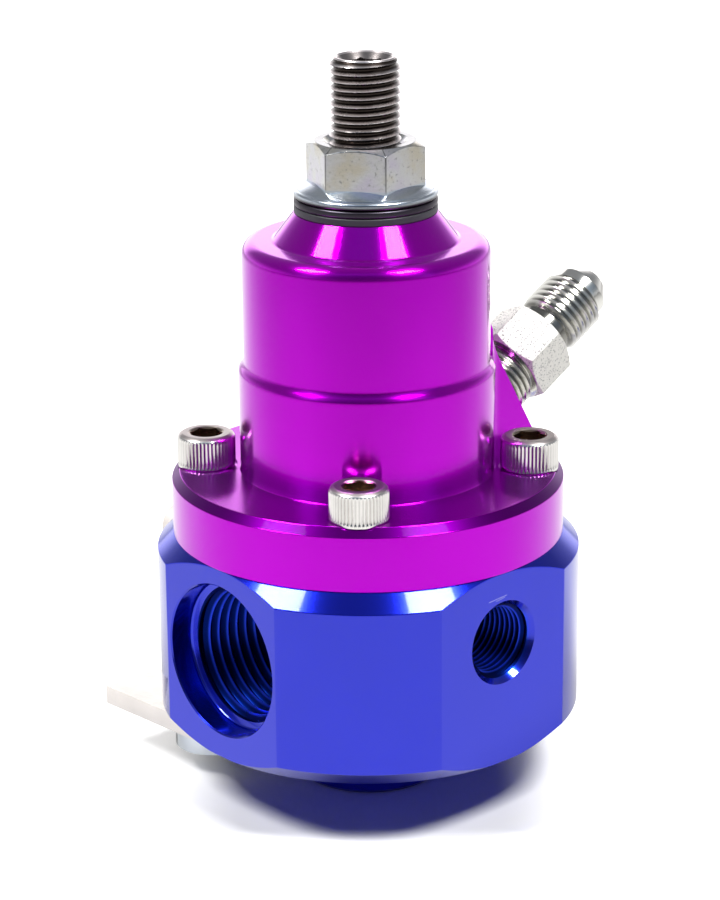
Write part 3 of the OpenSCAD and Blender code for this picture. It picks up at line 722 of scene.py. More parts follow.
def plated_nut(name, color, roughness):
    """Zinc plate with tinted stains and fine dark grain; painted shade on the corners, the top face and the
    underside, and a painted bluish reflection on the flange.
    """
    finish = turned_metal(name, color, roughness, 2600, 0.3, ZINC_STAINS)
    up = finish.z - NUT_Z
    turn = finish.math("ARCTAN2", finish.y, finish.x) - (NUT_TURN - SIXTH / 2 - FULL_TURN)
    from_corner = abs(turn % SIXTH - SIXTH / 2)
    finish.tint(finish.noise(2400, 4).ramp((0.60, 0.0), (0.70, 1.0)), tinted(color, 0.4), 0.7)
    # Painted light: shade along the hexagon's corners, a bluish reflection on the flange, a darker top face
    # and shade on the underside
    finish.tint((from_corner < 0.011) * (up > 1.6), tinted(color, 0.3), 0.7)
    finish.tint((up < 2.15) * (finish.r > NUT_AF / 2), FLANGE_REFLECTION_TINT, 0.6)
    finish.tint(finish.z > NUT_TOP - 0.04, tinted(color, 0.52))
    finish.tint(up.fall(0.35, 0.7), UNDERSIDE_SHADE)
    return finish


def plated_fitting(name, color, roughness, hex_roughness):
    """Bright turned zinc plate with painted shade in its thread valleys; duller and speckled on the hexagon,
    where the specks' tone is painted light: paler on faces that point up, darker on the others.
    """
    finish = turned_metal(name, color, roughness, 4500, 0.25)
    place = fitting_place()
    axis = place.to_3x3() @ Vector((0, 0, 1))
    off = finish.vectors("SUBTRACT", finish.point, place.translation / MM)
    far = finish.vectors("DOT_PRODUCT", off, axis)
    r = finish.vectors("LENGTH", finish.vectors("CROSS_PRODUCT", off, axis))
    hex_end = PIPE_SHOWN + HEX_LEN
    on_hex = (far > PIPE_SHOWN + 0.05) * (far < hex_end - 0.05)
    grain = finish.noise(4200, 3).ramp((0.58, 0.0), (0.66, 1.0))
    dots = grain * 0.5 | finish.specks(0.30, 0.095, 0.42)
    # The specks are grain; their tone by the way a face points is painted light
    upper = finish.axes(finish.joined("ShaderNodeNewGeometry", "Normal"))[2] > 0.45
    hose = (far > hex_end + 0.2) * (far < hex_end + HOSE_LEN - HOSE_CONE - HOSE_COLLAR)
    hose_low = hose * r.fall(HOSE_R - 0.58, HOSE_R - 0.2)
    pipe_low = (far < PIPE_SHOWN - 0.05) * r.fall(PIPE_R - 0.45, PIPE_R - 0.1)
    finish.tint(on_hex, color)
    finish.tint(dots * on_hex, finish.mix(upper, tinted(color, 0.45), tinted(color, 0.12)))
    # Painted shade in the hose's and the pipe's thread valleys
    finish.tint(hose_low | pipe_low, FITTING_VALLEY_SHADE, 0.8)
    finish.duller(on_hex, hex_roughness - roughness)
    return finish


def bent_sheet(name, color, roughness, dull):
    """Pale sheet metal, glossy on its foot and dull on its upright."""
    finish = turned_metal(name, color, roughness)
    finish.duller(finish.z.rise(15, 25), dull - roughness)
    return finish


def soft_finish(name, color, roughness, scale, strength):
    """Rubber, fabric or plastic: dull, with a fine even texture."""
    finish = Finish(name, color, 0.0, roughness)
    finish.mottle(500, 4, 0.7, 1.3)
    finish.bump(finish.noise(scale, 3), strength, SOFT_BUMP)
    return finish


def make_finishes():
    """Materials by the name of their slot, and those of the ports' threads by the name of the port."""
    made = [
        anodised("blue_anodised", BLUE, 0.17, 0.05, body_detail, Coat_Roughness=0.05, Coat_IOR=1.5),
        anodised("purple_anodised", PURPLE, 0.19, 0.06, bonnet_detail, Anisotropic=0.8,
                 Anisotropic_Rotation=0.25, Coat_Roughness=0.04, Coat_IOR=1.19),
        socketed("stainless_screws", (0.94, 0.91, 0.87), 0.22),
        plated_fitting("zinc_fitting", (0.86, 0.85, 0.80), 0.17, 0.74),
        bent_sheet("bracket_sheet", (0.93, 0.88, 0.82), 0.17, 0.75),
        turned_metal("zinc_screws", (0.84, 0.90, 0.95), 0.13),
        shaded_thread("adjuster_steel", (0.86, 0.79, 0.78), (0.055, 0.042, 0.036), 0.25),
        plated_nut("zinc_nut", (0.82, 0.82, 0.82), 0.21),
        turned_metal("washer_steel", (0.066, 0.058, 0.074), 0.34),
        soft_finish("seal_rubber", (0.035, 0.035, 0.042), 0.45, 1500, 0.5),
        turned_metal("button_brass", (0.72, 0.52, 0.22), 0.25),
        turned_metal("spring_steel", (0.36, 0.36, 0.38), 0.30),
        soft_finish("diaphragm_rubber", (0.10, 0.07, 0.05), 0.6, 900, 0.6),
        turned_metal("plate_aluminium", (0.80, 0.81, 0.83), 0.30),
        turned_metal("valve_steel", (0.60, 0.60, 0.61), 0.25),
        soft_finish("disc_plastic", (0.80, 0.77, 0.68), 0.5, 1200, 0.2),
        turned_metal("seat_brass", (0.75, 0.56, 0.26), 0.24),
    ]
    slots = {finish.name: finish.material for finish in made}
    for port in ("inlet_port", "gauge_port", "return_port"):
        slots[port] = bored_thread(port).material
    slots["outlet_port"] = slots["inlet_port"]
    return slots


FINISHES = make_finishes()


def finish_cad_nodes():
    """Puts the finish of its slot on every CAD node."""
    for row in frame["record"]["subparts"]:
        mesh = frame["nodes"][row["node"]].data
        mesh.materials.clear()
        mesh.materials.append(FINISHES[row["material_slot"]])


# Body
def body_angles():
    """Angles round the body, with one exactly at each edge between a flat and the round."""
    edge = math.acos(FLAT_R / BODY_R)
    close = 0.02
    corner = np.linspace(0, close, 8, endpoint=False)
    middle = np.linspace(close - edge, edge - close, 40)
    flat = np.concatenate((corner - edge, middle, edge - corner[:0:-1]))
    arc = np.linspace(edge, QUARTER - edge, 60, endpoint=False)
    return np.concatenate([k * QUARTER + np.concatenate((flat, arc)) for k in range(4)])


def flatted_rings(points, angles):
    """Rings of a turned outline with the four flats cut into it, so that the flats end on true curves."""
    off = np.abs((angles + QUARTER / 2) % QUARTER - QUARTER / 2)
    reach = np.minimum(BODY_R, FLAT_R / np.cos(off))
    middle = (BODY_BOTTOM + BODY_TOP) / 2
    low = [(r, z) for r, z in points if BODY_BOTTOM - EDGE_BREAK <= z < middle and r > BOSS_R + 1]
    high = [(r, z) for r, z in points if z > middle and r > CHAMBER_R + 6]
    low_z = np.interp(reach, [r for r, z in low], [z for r, z in low])
    high_z = np.interp(reach, [r for r, z in high[::-1]], [z for r, z in high[::-1]])
    rings = []
    for r, z in points:
        cut_z = low_z if z < middle else high_z
        rings.append(Ring(np.minimum(r, reach), np.where(r > reach, cut_z, z)))
    return rings


def port_tool(mouth_r, mouth_depth, cone, thread_r, thread_len, drill_r, reach):
    """Cutting solid of a port, its mouth at z = 0 and its depth along -Z."""
    top = mouth_depth + cone
    end = top + thread_len
    point = (thread_r - drill_r) * math.tan(DRILL_POINT)
    outside = 1.0
    points = [
        (drill_r, -reach, 0), (drill_r, -end - point, 0), (thread_r, -end, 0), (thread_r, -top, 0),
        (mouth_r, -mouth_depth, MOUTH_FILLET), (mouth_r, -EDGE_BREAK, 0),
        (mouth_r + EDGE_BREAK + outside, outside, 0),
    ]
    if mouth_depth == 0:
        points = points[:4] + [(mouth_r, 0, 0), (mouth_r + outside, outside * cone / (mouth_r - thread_r), 0)]
    return ring_mesh("tool", even_angles(ROUND_STEPS), lathe(points))


def body_blank():
    chamfer_r = BODY_R - BODY_CHAMFER
    return_at, _, return_dims = mount("return_port")
    return_r = return_dims["r_mm"]
    return_end = return_at.z + return_dims["length_mm"] / 2
    seat_low = WELL_FLOOR - SEAT_HOLE_DEPTH
    pocket_z = BODY_TOP - POCKET_DEPTH
    outline = rounded([
        (RETURN_MOUTH_R, 0, 0.1), (BOSS_R - BOSS_CHAMFER, 0, 0.1), (BOSS_R, BOSS_CHAMFER, 0.15),
        (BOSS_R, BODY_BOTTOM, 0.2), (chamfer_r, BODY_BOTTOM, EDGE_BREAK),
        (BODY_R, BODY_BOTTOM + BODY_CHAMFER, EDGE_BREAK), (BODY_R, BODY_TOP - BODY_CHAMFER, EDGE_BREAK),
        (chamfer_r, BODY_TOP, EDGE_BREAK), (POCKET_R, BODY_TOP, 0.1), (POCKET_R, pocket_z, 0),
        (CHAMBER_R, pocket_z, 0.1), (CHAMBER_R, pocket_z - LOWER_ROOM, 0),
        (WELL_R, pocket_z - LOWER_ROOM, 0.1),
        (WELL_R, WELL_FLOOR, 0.3), (SEAT_HOLE_R, WELL_FLOOR, 0.1), (SEAT_HOLE_R, seat_low, 0),
        (return_r, return_end, 0), (return_r, RETURN_CONE, 0),
    ], closed=True)
    angles = body_angles()
    return ring_mesh("body_shell", angles, flatted_rings(outline, angles), closed=True)


def port_thread(port):
    """Helical ridges on the wall of a threaded hole, cut back by a lead-in at both ends."""
    pitch, share = PORT_THREADS[port]
    depth = pitch * share
    at, axis, dims = mount(port)
    length = dims["length_mm"]
    major = dims["r_mm"]
    wall = 0.12
    angles = even_angles(PORT_STEPS)
    low = -length / 2
    high = length / 2

    def limit(z):
        return major - np.minimum(np.minimum(z - low, high - z), depth)

    rows = thread_rings(angles, major - depth, depth - 0.01, pitch, low, high, limit, inward=True)
    rings = rows + [Ring(major + wall, high), Ring(major + wall, low)]
    name = port.replace("_port", "_thread")
    return move(ring_mesh(name, angles, rings, closed=True), along(axis, at))


def make_body():
    shell = body_blank()
    side_mouth = (PORT_MOUTH_R, PORT_MOUTH_DEPTH, PORT_CONE)
    tools = []
    for port, mouth, drill_r in (
        ("inlet_port", side_mouth, PORT_DRILL_R), ("outlet_port", side_mouth, PORT_DRILL_R),
        ("gauge_port", (GAUGE_MOUTH_R, 0, GAUGE_CONE), GAUGE_DRILL_R),
    ):
        at, axis, dims = mount(port)
        tool = port_tool(*mouth, dims["r_mm"], dims["length_mm"], drill_r, FLAT_R - WELL_R / 2)
        tools.append(move(tool, along(axis, Vector((0, 0, at.z)) + axis * FLAT_R)))
    cut(shell, tools)
    add_piece(shell, "housing", "blue_anodised", "body")
    for port in PORT_THREADS:
        add_piece(port_thread(port), "housing", "blue_anodised", finish=port)


# Bonnet
def boss_side(x_face):
    """Plan of one side of the boss, from its slanted face to the tower: x and y of each point."""
    fillet_y = BOOST_HALF + BOOST_FILLET
    fillet_x = math.sqrt((TOWER_R + BOOST_FILLET) ** 2 - fillet_y**2)
    start = max(x_face, fillet_x)
    wall_x = np.linspace(start, fillet_x, 7, endpoint=False)
    wall_y = np.full(7, BOOST_HALF)
    meet = math.atan2(fillet_y, fillet_x)
    turn = np.linspace(-math.pi / 2, meet - math.pi, 16)
    arc_x = fillet_x + BOOST_FILLET * np.cos(turn)
    arc_y = fillet_y + BOOST_FILLET * np.sin(turn)
    x = np.concatenate((wall_x, arc_x))
    y = np.concatenate((wall_y, arc_y))
    edge_y = np.interp(x_face, x[::-1], y[::-1])
    return np.where(x > x_face, x_face, x), np.where(x > x_face, edge_y, y)


def tower_radius(z):
    """Radius of the tower at a height between flange and shoulder, with a small fillet at its foot."""
    foot = FOOT_FILLET
    rise = z - FLANGE_TOP
    if rise < foot:
        return TOWER_R + foot - math.sqrt(max(foot**2 - (foot - rise) ** 2, 0))
    heights = [STEP_Z, STEP_Z + STEP_EDGE, STEP_Z + STEP_H - STEP_EDGE, STEP_Z + STEP_H]
    return float(np.interp(z, heights, [TOWER_R, TOWER_R - STEP_EASE, UPPER_R + STEP_EASE, UPPER_R]))


def tower_ring(z):
    """One ring of the tower with the boss on its +X side."""
    tower = tower_radius(z)
    x_face = BOOST_REACH - (z - FLANGE_TOP) * math.tan(BOOST_TILT)
    side_x, side_y = boss_side(x_face)
    inner_y = math.sqrt(max(tower**2 - x_face**2, 0)) if x_face < tower else 0.0
    inner_y = min(inner_y, side_y[0])
    half_face = np.concatenate((np.linspace(0, inner_y, 6, endpoint=False),
                                np.linspace(inner_y, side_y[0], 7, endpoint=False)))
    x = np.concatenate((np.full(len(half_face), x_face), side_x))
    y = np.concatenate((half_face, side_y))
    around = np.arctan2(y, x)
    r = np.clip(np.hypot(x, y), tower, max(tower, FLANGE_R - FLANGE_CHAMFER))
    rest = np.linspace(around[-1], FULL_TURN - around[-1], 300)[1:-1]
    all_around = np.concatenate((around, rest, FULL_TURN - around[:0:-1]))
    all_r = np.concatenate((r, np.full(len(rest), tower), r[:0:-1]))
    return Ring(all_r, z, all_around)


def make_bonnet():
    flange_edge = FLANGE_R - FLANGE_CHAMFER
    chamber_top = BODY_TOP + UPPER_ROOM
    thread_r = ADJUSTER_R + THREAD_ROOM
    heights = [FLANGE_TOP + rise for rise in (0, 0.01, 0.035, 0.07, FOOT_FILLET)]
    heights += list(np.linspace(FLANGE_TOP + 1.0, STEP_Z - 0.6, 22))
    step = (-0.25, 0, STEP_EDGE, STEP_H / 2, STEP_H - STEP_EDGE, STEP_H)
    heights += [STEP_Z + rise for rise in step]
    heights += list(np.linspace(STEP_Z + STEP_H + 0.25, BOSS_TOP, 10))
    tower = [tower_ring(z) for z in heights]
    below = tower[0].around
    above = tower[-1].around
    flange = rounded([
        (CHAMBER_R, chamber_top, 0), (CHAMBER_R, BODY_TOP, 0.1), (FLANGE_R, BODY_TOP, EDGE_BREAK),
        (FLANGE_R, FLANGE_TOP - FLANGE_CHAMFER, EDGE_BREAK), (flange_edge, FLANGE_TOP, 0.12),
        (flange_edge - 0.4, FLANGE_TOP, 0),
    ])
    top = rounded([
        (UPPER_R, BOSS_TOP + 1, 0), (UPPER_R, RING_Z, SHOULDER_R), (CONE_R, RING_Z, 0.6),
        (NECK_R, NECK_Z, 0.12), (thread_r, NECK_Z, 0.1), (thread_r, ROOF_Z, 0), (BORE_R, ROOF_Z, 0.4),
        (BORE_R, chamber_top, 0),
    ])
    rings = [Ring(r, z, below) for r, z in flange] + tower + [Ring(r, z, above) for r, z in top]
    shell = ring_mesh("bonnet_shell", below, rings, closed=True)
    shank_r = CAP_SHANK_R + SCREW_ROOM
    head_r = HEAD_R + SCREW_ROOM
    hole_r = PIPE_R + THREAD_ROOM
    spot = [
        (shank_r, BODY_TOP - 1, 0), (shank_r, SPOT_Z, 0), (head_r, SPOT_Z, 0), (head_r, FLANGE_TOP + 1, 0),
    ]
    hole = [(hole_r, -PIPE_ENGAGED - 0.8, 0), (hole_r, -0.35, 0), (hole_r + 1, 0.65, 0)]
    places = [Matrix.Translation(Vector((x, y, 0)) * BOLT_XY * MM) for x in (-1, 1) for y in (-1, 1)]
    tools = []
    for points, place in [(spot, place) for place in places] + [(hole, fitting_place())]:
        tools.append(move(ring_mesh("tool", even_angles(TOOL_STEPS), lathe(points)), place))
    cut(shell, tools)
    add_piece(shell, "housing", "purple_anodised", "bonnet")


# Fitting
def hex_rings(angles, af, turn, corner, low, high, face_r, chamfer_low):
    """Rings of a hexagon's sides between its chamfers, which meet the flats in true arcs."""
    slope = math.tan(HEX_CHAMFER)
    outer = round_hex_radius(angles, af, turn, corner)
    drop = np.maximum(outer - face_r, 0) * slope
    soft = ((0.0, -0.14), (0.012, -0.045), (0.05, 0.018), (0.12, 0.068))
    rings = []
    if chamfer_low:
        rings.append(Ring(np.minimum(face_r, outer), low))
        rings += [Ring(outer - cut_r, low + drop - cut_z) for cut_r, cut_z in soft[::-1]]
    rings += [Ring(outer - cut_r, high - drop + cut_z) for cut_r, cut_z in soft]
    rings.append(Ring(np.minimum(face_r, outer - 0.14), high))
    return rings


def make_fitting():
    corner = 0.25
    angles = hex_angles(HEX_AF, HEX_TURN, corner, 20, 4)
    hex_end = PIPE_SHOWN + HEX_LEN
    tip = hex_end + HOSE_LEN
    thread_depth = PORT_THREADS["gauge_port"][1] * PIPE_PITCH
    collar_r = HOSE_R - 0.8
    collar_z = tip - HOSE_CONE - HOSE_COLLAR
    nose_r = collar_r - HOSE_CONE * math.tan(FLARE)
    pipe_low = -PIPE_ENGAGED
    pipe_high = PIPE_SHOWN - 0.35
    neck_r = PIPE_R - thread_depth
    hose_low = hex_end + HOSE_NECK + 0.5
    hose_high = collar_z + 0.1

    def pipe_limit(z):
        return neck_r + np.minimum(np.minimum(z - pipe_low, pipe_high - z) * 1.4, 2)

    def hose_limit(z):
        return collar_r - 0.02 + np.minimum(np.minimum(z - hose_low, hose_high - z) * 1.2, 2)

    rings = [Ring(FITTING_BORE_R, pipe_low), Ring(neck_r - 0.1, pipe_low)]
    rings += thread_rings(angles, PIPE_R + 0.12, thread_depth + 0.1, PIPE_PITCH, pipe_low, pipe_high,
                          pipe_limit)
    rings += [Ring(neck_r, pipe_high + 0.1), Ring(neck_r, PIPE_SHOWN)]
    rings += hex_rings(angles, HEX_AF, HEX_TURN, corner, PIPE_SHOWN, hex_end, HEX_AF / 2 - 0.15, True)
    rings += [Ring(collar_r, hex_end), Ring(collar_r - 0.02, hose_low - 0.1)]
    rings += thread_rings(angles, HOSE_R, FINE_DEPTH, FINE_PITCH, hose_low, hose_high, hose_limit)
    rings += lathe([
        (collar_r - 0.02, hose_high + 0.05, 0), (collar_r, collar_z + 0.4, 0.1),
        (collar_r, tip - HOSE_CONE, 0.35), (nose_r, tip, 0.45), (FITTING_BORE_R, tip, 0.12),
        (FITTING_BORE_R, tip - 4, 0),
    ])
    fitting = ring_mesh("boost_fitting_shell", angles, rings, closed=True)
    add_piece(move(fitting, fitting_place()), "housing", "zinc_fitting", "boost_fitting")


# Cap screws
def cap_screw_rings(angles):
    """Rings of one socket head screw, its head's underside at z = 0."""
    tooth = 0.5 - 0.5 * np.cos(KNURL_TEETH * angles)
    knurl = HEAD_R - KNURL_DEPTH * tooth**0.7
    plain = HEAD_R - 0.04
    top = CAP_HEAD_H
    socket = hex_radius(angles, CAP_SOCKET_AF)
    sink_r = CAP_SOCKET_AF / 2 / math.cos(math.pi / 6) + 0.12
    sink = (sink_r - socket) * 0.55 + 0.03
    rings = [Ring(CAP_SHANK_R - 0.5, -CAP_LEN), Ring(CAP_SHANK_R, 0.5 - CAP_LEN), Ring(CAP_SHANK_R, 0)]
    foot = ((0.32, 0), (0.14, 0.05), (0.03, 0.17), (0, 0.34))
    rings += [Ring(plain - back, z) for back, z in foot]
    rings += [Ring(plain, 0.52), Ring(knurl * 0.5 + plain * 0.5, 0.64), Ring(knurl, 0.80)]
    rings += [Ring(knurl, z) for z in np.linspace(1.2, top - 1.0, 5)]
    rings += [Ring(knurl, top - 0.72), Ring(np.minimum(knurl + 0.04, plain), top - 0.58)]
    rings += lathe([(plain - 0.06, top - 0.47, 0), (plain - 0.20, top - 0.28, 0.3), (plain - 0.62, top, 0.25),
                    (sink_r + 0.15, top, 0)])
    rings += [Ring(sink_r, top - 0.01), Ring(socket, top - sink), Ring(socket, top - sink - 0.08)]
    rings += [Ring(socket, top - CAP_SOCKET_DEPTH), Ring(0.2, top - CAP_SOCKET_DEPTH - 0.9)]
    return rings


def make_cap_screws():
    angles = even_angles(KNURL_STEPS)
    for k in range(4):
        turn = (k + 0.5) * QUARTER
        screw = ring_mesh("cap_screw_%d" % (k + 1), angles, cap_screw_rings(angles))
        place = Vector((math.cos(turn), math.sin(turn), 0)) * BOLT_XY * math.sqrt(2)
        place.z = SPOT_Z
        move(screw, Matrix.Translation(place * MM) @ Matrix.Rotation(turn, 4, "Z"))
        add_piece(screw, "housing", "stainless_screws", "cap_screws")


# Adjusting screw, nut and washers
def make_adjuster():
    angles = even_angles(SCREW_STEPS)
    root = ADJUSTER_R - FINE_DEPTH
    socket = hex_radius(angles, ADJUSTER_SOCKET_AF)
    sink_r = ADJUSTER_R - 0.95
    rim_r = ADJUSTER_R - 0.62
    low = ADJUSTER_LOW
    high = ADJUSTER_TOP - 0.3

    def limit(z):
        return np.minimum(root - 0.02 + (z - low) * 1.2, rim_r - 0.05 + (high - z) * 1.1)

    def cut_limit(z):
        return np.minimum(limit(z), np.where(z >= high, root, np.inf))

    rings = [Ring(0.3, low), Ring(root - 0.1, low)]
    rings += thread_rings(angles, ADJUSTER_R, FINE_DEPTH, FINE_PITCH, low, high, cut_limit)
    rings += [Ring(root, high + 0.01), Ring(rim_r - 0.02, high + 0.06)]
    rings += lathe([
        (rim_r, high + 0.12, 0), (rim_r - 0.1, ADJUSTER_TOP, 0.1), (sink_r, ADJUSTER_TOP, 0.06),
        (ADJUSTER_SOCKET_AF / 2 / math.cos(math.pi / 6) + 0.1, ADJUSTER_TOP - 0.95, 0),
    ])
    slope = 0.95 / (sink_r - ADJUSTER_SOCKET_AF / 2)
    rings += [Ring(socket, ADJUSTER_TOP - (sink_r - socket) * slope)]
    rings += [Ring(socket, ADJUSTER_TOP - 1.4), Ring(socket, ADJUSTER_TOP - ADJUSTER_SOCKET_DEPTH)]
    rings += [Ring(0.3, ADJUSTER_TOP - ADJUSTER_SOCKET_DEPTH - 1.0)]
    screw = ring_mesh("adjusting_screw_shell", angles, rings)
    add_piece(screw, "adjuster", "adjuster_steel", "adjusting_screw")


def make_nut():
    corner = 0.35
    angles = hex_angles(NUT_AF, NUT_TURN, corner, 24, 6)
    outer = round_hex_radius(angles, NUT_AF, NUT_TURN, corner)
    face_r = NUT_AF / 2 - 0.3
    bore = ADJUSTER_R + THREAD_ROOM
    rim = NUT_RIM_R
    dome_low = 1.1
    dome_high = 2.1

    def dome(r):
        """Height of the flange's upper surface over the nut's foot at a radius."""
        share = np.clip((rim - 0.35 - r) / (rim - 0.35 - NUT_AF / 2), 0, 1.2)
        return dome_low + (dome_high - dome_low) * share**0.85

    rings = lathe([
        (bore + 0.4, NUT_Z, 0), (rim - 0.5, NUT_Z, 0), (rim, NUT_Z + 0.12, 0.4),
        (rim, NUT_Z + dome_low - 0.1, 0.45), (rim - 0.5, NUT_Z + dome_low + 0.02, 0),
    ])
    for share in np.linspace(0.0, 1.0, 9):
        r = (rim - 0.55) * (1 - share) + outer * share
        rings.append(Ring(r, NUT_Z + dome(r)))
    rings += [Ring(outer, NUT_Z + dome(outer) + 0.08)]
    rings += hex_rings(angles, NUT_AF, NUT_TURN, corner, NUT_Z, NUT_TOP, face_r, False)
    rings += lathe([
        (face_r - 0.15, NUT_TOP, 0), (bore + 0.85, NUT_TOP, 0.15), (bore, NUT_TOP - 0.8, 0),
        (bore, NUT_Z + 0.4, 0),
    ])
    add_piece(ring_mesh("jam_nut_shell", angles, rings, closed=True), "nut", "zinc_nut", "jam_nut")


def make_washers():
    bore = ADJUSTER_R + SCREW_ROOM
    angles = even_angles(ROUND_STEPS)
    for node, body, slot, fillet in (
        ("nut_washer", "washer", "washer_steel", 0.34), ("seal_washer", "housing", "seal_rubber", 0.2),
    ):
        low, high = span(node)
        points = [(bore, low.z, 0.1), (high.y, low.z, fillet), (high.y, high.z, fillet), (bore, high.z, 0.1)]
        washer = ring_mesh(node + "_shell", angles, lathe(points, True), closed=True)
        add_piece(washer, body, slot, node)


# Spring and diaphragm
def grid_mesh(name, points):
    """A closed tube from rows of points in millimetres: neighbouring rows are joined and the ends capped."""
    rows, count, _ = points.shape
    faces = [tuple(range(count))[::-1], tuple((rows - 1) * count + k for k in range(count))]
    for i in range(rows - 1):
        for k in range(count):
            after = (k + 1) % count
            faces.append((i * count + k, i * count + after, (i + 1) * count + after, (i + 1) * count + k))
    mesh = bpy.data.meshes.new(name)
    mesh.from_pydata((points.reshape(-1, 3) * MM).tolist(), [], faces)
    clean(mesh)
    return new_object(name, mesh)


def spring_wire(name, first, last):
    """The spring's wire from one turn to another; its end turns are closed and ground flat."""
    low, high = span("main_spring")
    coil_r = high.x - WIRE_R
    end_pitch = CLOSED_PITCH * 2 * WIRE_R
    inset = GROUND_SHARE * 2 * WIRE_R
    height = high.z - low.z - 2 * inset
    turns = np.linspace(first, last, math.ceil((last - first) * WIRE_ROWS) + 1)[:, None]
    rises = (0, end_pitch, height - end_pitch, height)
    rise = np.interp(turns, (0, 1, SPRING_TURNS - 1, SPRING_TURNS), rises)
    sides = even_angles(WIRE_STEPS)[None, :]
    r = coil_r + WIRE_R * np.cos(sides)
    z = np.clip(low.z + inset + rise + WIRE_R * np.sin(sides), low.z, high.z)
    around = FULL_TURN * turns
    return grid_mesh(name, np.stack((r * np.cos(around), r * np.sin(around), z), axis=-1))


def make_spring():
    """The spring's wire in two pieces, the lowest turns and the others, meeting at the split turn."""
    lower = spring_wire("spring_lower", 0, SPRING_SPLIT)
    upper = spring_wire("spring_upper", SPRING_SPLIT, SPRING_TURNS)
    add_bending(lower, "spring_steel", "main_spring")
    add_bending(upper, "spring_steel", "main_spring")


def make_diaphragm():
    """Sectors of the diaphragm, from the stem hole out to the rim where it is clamped."""
    low, high = span("diaphragm")
    free_r = span("upper_plate")[1].x
    radii = np.concatenate(([STEM_HOLE_R], np.linspace(free_r, CHAMBER_R, 9), [high.x]))
    r = np.concatenate((radii, radii[::-1]))
    z = np.concatenate((np.full(len(radii), low.z), np.full(len(radii), high.z)))
    width = FULL_TURN / DIAPHRAGM_SECTORS
    for k in range(DIAPHRAGM_SECTORS):
        around = np.linspace(k * width, (k + 1) * width, 7)[:, None]
        level = np.broadcast_to(z, (len(around), len(z)))
        points = np.stack((r * np.cos(around), r * np.sin(around), level), axis=-1)
        sector = grid_mesh("diaphragm_%02d" % (k + 1), points)
        add_bending(sector, "diaphragm_rubber", "diaphragm")


# Studio
VIEW_FORWARD = Vector((0.6665, 0.7455, 0)).normalized()
VIEW_RIGHT = Vector((VIEW_FORWARD.y, -VIEW_FORWARD.x, 0))
# Millimetres over which the paper darkens in reflections; other distances here are in metres
FLOOR_FADE = 600
FLOOR_REACH = 3.0
FLOOR_DROP = 0.0001
LAMP_SIZE = 0.25
LAMP_AIM = Vector((0, 0, 0.05))
# Strength of the world in reflections and on dull surfaces
MIRRORED = 1.8
SOFT = 0.07
WHITE = (1.0, 1.0, 1.0)
PAPER = (0.86, 0.86, 0.86)


def make_camera():
    """Camera of the photograph: seen from the front corner, a little from above."""
    pitch = 0.3176
    roll = 0.00828
    place = Vector((-0.2595, -0.2887, 0.1740))
    forward = VIEW_FORWARD * math.cos(pitch) - Vector((0, 0, math.sin(pitch)))
    up = VIEW_RIGHT.cross(forward)
    right = VIEW_RIGHT * math.cos(roll) - up * math.sin(roll)
    up = right.cross(forward)
    data = bpy.data.cameras.new("camera")
    data.lens = 120
    data.sensor_width = 36
    data.clip_start = 0.01
    obj = new_object("camera", data)
    obj.matrix_world = Matrix.Translation(place) @ Matrix((right, up, -forward)).transposed().to_4x4()
    bpy.context.scene.camera = obj


def add_lamp(name, right, forward, up, watts):
    """A square soft box at a place in metres as the viewer sees it, aimed at the middle of the part."""
    place = VIEW_RIGHT * right + VIEW_FORWARD * forward + Vector((0, 0, up))
    data = bpy.data.lights.new(name, "AREA")
    data.size = LAMP_SIZE
    data.energy = watts
    obj = new_object(name, data)
    obj.location = place
    obj.rotation_euler = (LAMP_AIM - place).to_track_quat("-Z", "Y").to_euler()


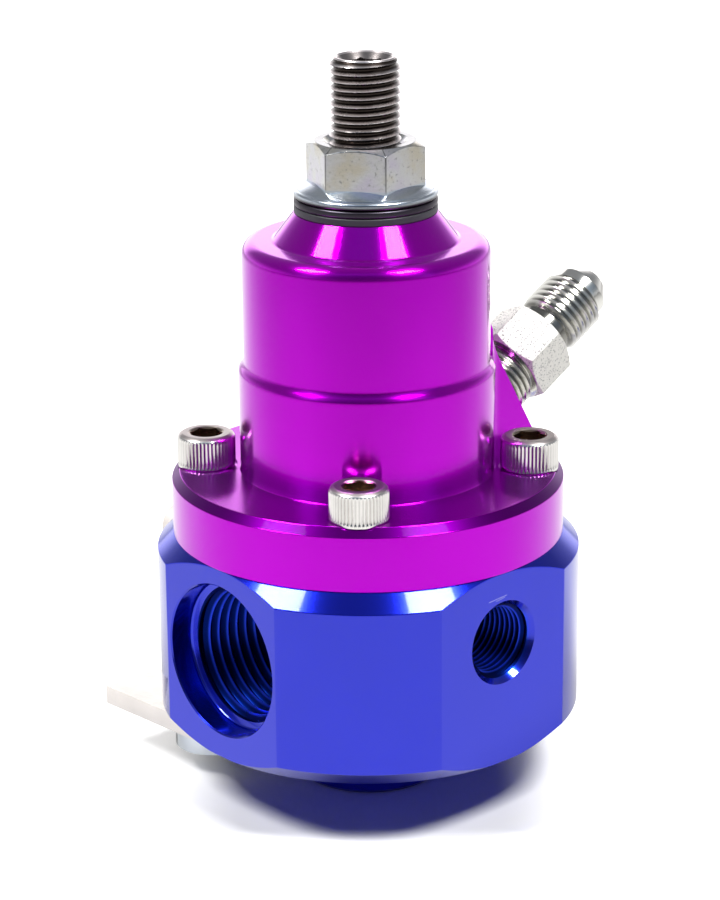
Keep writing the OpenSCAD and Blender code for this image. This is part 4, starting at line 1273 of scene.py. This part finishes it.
def make_world():
    """Dim bluish room over a white sweep: bright low down and behind the part, dark in front of it."""
    world = bpy.data.worlds.new("room")
    bpy.context.scene.world = world
    world.use_nodes = True
    room = Nodes(world.node_tree)
    room.tree.nodes.clear()
    way = room.joined("ShaderNodeTexCoord", "Generated")
    up = room.axes(way)[2]
    behind = room.vectors("DOT_PRODUCT", way, VIEW_FORWARD)
    half = behind * 0.5 + 0.5
    walls = half.ramp(
        (0.03, (0.04, 0.05, 0.07)), (0.145, (0.09, 0.12, 0.17)), (0.25, (0.29, 0.36, 0.46)),
        (0.32, (0.15, 0.18, 0.22)), (0.5, (0.22, 0.23, 0.25)), (1.0, (0.25, 0.26, 0.28)),
    )
    low = up.ramp((0.0, 1.0), (0.10, 0.85), (0.20, 0.35), (0.36, 0.0))
    low = low * half.ramp((0.10, 0.12), (0.30, 0.4), (0.5, 0.85), (0.7, 1.0))
    sweep = room.mix(low, walls, (0.95, 0.95, 0.97))
    sweep = room.vectors("MULTIPLY", sweep, Vector(WHITE) / MIRRORED)
    back = behind.ramp((0.80, 0.0), (0.93, 1.0)) * up.ramp((0.36, 1.0), (0.47, 0.0))
    bright = room.mix(back, sweep, (1.0, 0.98, 1.0))
    levels = (((0.8, 0.8, 0.8), SOFT), (bright, MIRRORED), (WHITE, 1.0))
    soft, mirrored, white = (room.joined("ShaderNodeBackground", 0, *level) for level in levels)
    rays = [room.joined("ShaderNodeLightPath", "Is %s Ray" % kind) for kind in ("Glossy", "Transmission")]
    shown = room.joined("ShaderNodeMixShader", 0, rays[0] | rays[1], soft, mirrored)
    seen = room.joined("ShaderNodeLightPath", "Is Camera Ray")
    shown = room.joined("ShaderNodeMixShader", 0, seen, shown, white)
    room.feed(room.node("ShaderNodeOutputWorld").inputs["Surface"], shown)


def make_floor():
    """White paper that keeps the shadow under the part; painted light makes it glow for the viewer beside and
    far from the part, so the side shadows fade out; in reflections it is painted darker towards the viewer
    and the sides.
    """
    mesh = bpy.data.meshes.new("floor")
    corners = [(x * FLOOR_REACH, y * FLOOR_REACH, 0) for x, y in ((-1, -1), (1, -1), (1, 1), (-1, 1))]
    mesh.from_pydata(corners, [], [(0, 1, 2, 3)])
    floor = new_object("floor", mesh)
    floor.location.z = -FLOOR_DROP
    paper = Finish("paper", PAPER, 0.0, 0.9, Specular_IOR_Level=0.1, Emission_Color=WHITE)
    seen = paper.joined("ShaderNodeLightPath", "Is Camera Ray")
    front = paper.vectors("DOT_PRODUCT", paper.point, -VIEW_FORWARD)
    across = abs(paper.vectors("DOT_PRODUCT", paper.point, VIEW_RIGHT))
    faded = (front * (1 / FLOOR_FADE) + 1 / 3).ramp(
        (0.0, 0.80), (0.25, 0.72), (0.333, 0.68), (0.433, 0.67),
        (0.517, 0.65), (0.642, 0.51), (0.767, 0.43), (1.0, 0.34),
    )
    faded = paper.mix(across.rise(90, 380) * 0.55, faded, (0.2, 0.2, 0.2))
    beyond = (front * -1.0).rise(40, 500)
    # Painted light: the paper glows beside the shadow's footprint and far away, which fades the side shadows
    # out
    beside = across.rise(17, 33) | front.rise(21, 28)
    painted_glow = beyond * 0.5 + beside * 0.62 | paper.r.rise(120, 400)
    paper.set(Base_Color=paper.mix(seen, faded, PAPER), Emission_Strength=beyond * 0.4 + seen * painted_glow)
    paper.material.cycles.emission_sampling = "NONE"
    mesh.materials.append(paper.material)


def make_studio():
    bpy.context.scene.view_settings.view_transform = "Standard"
    make_camera()
    make_world()
    make_floor()
    add_lamp("soft_box_left", -0.478, -0.146, 0.738, 7.0)
    add_lamp("soft_box_right", 0.354, -0.258, 0.778, 7.6)


make_studio()
finish_cad_nodes()
make_body()
make_bonnet()
make_fitting()
make_cap_screws()
make_adjuster()
make_nut()
make_washers()
make_spring()
make_diaphragm()
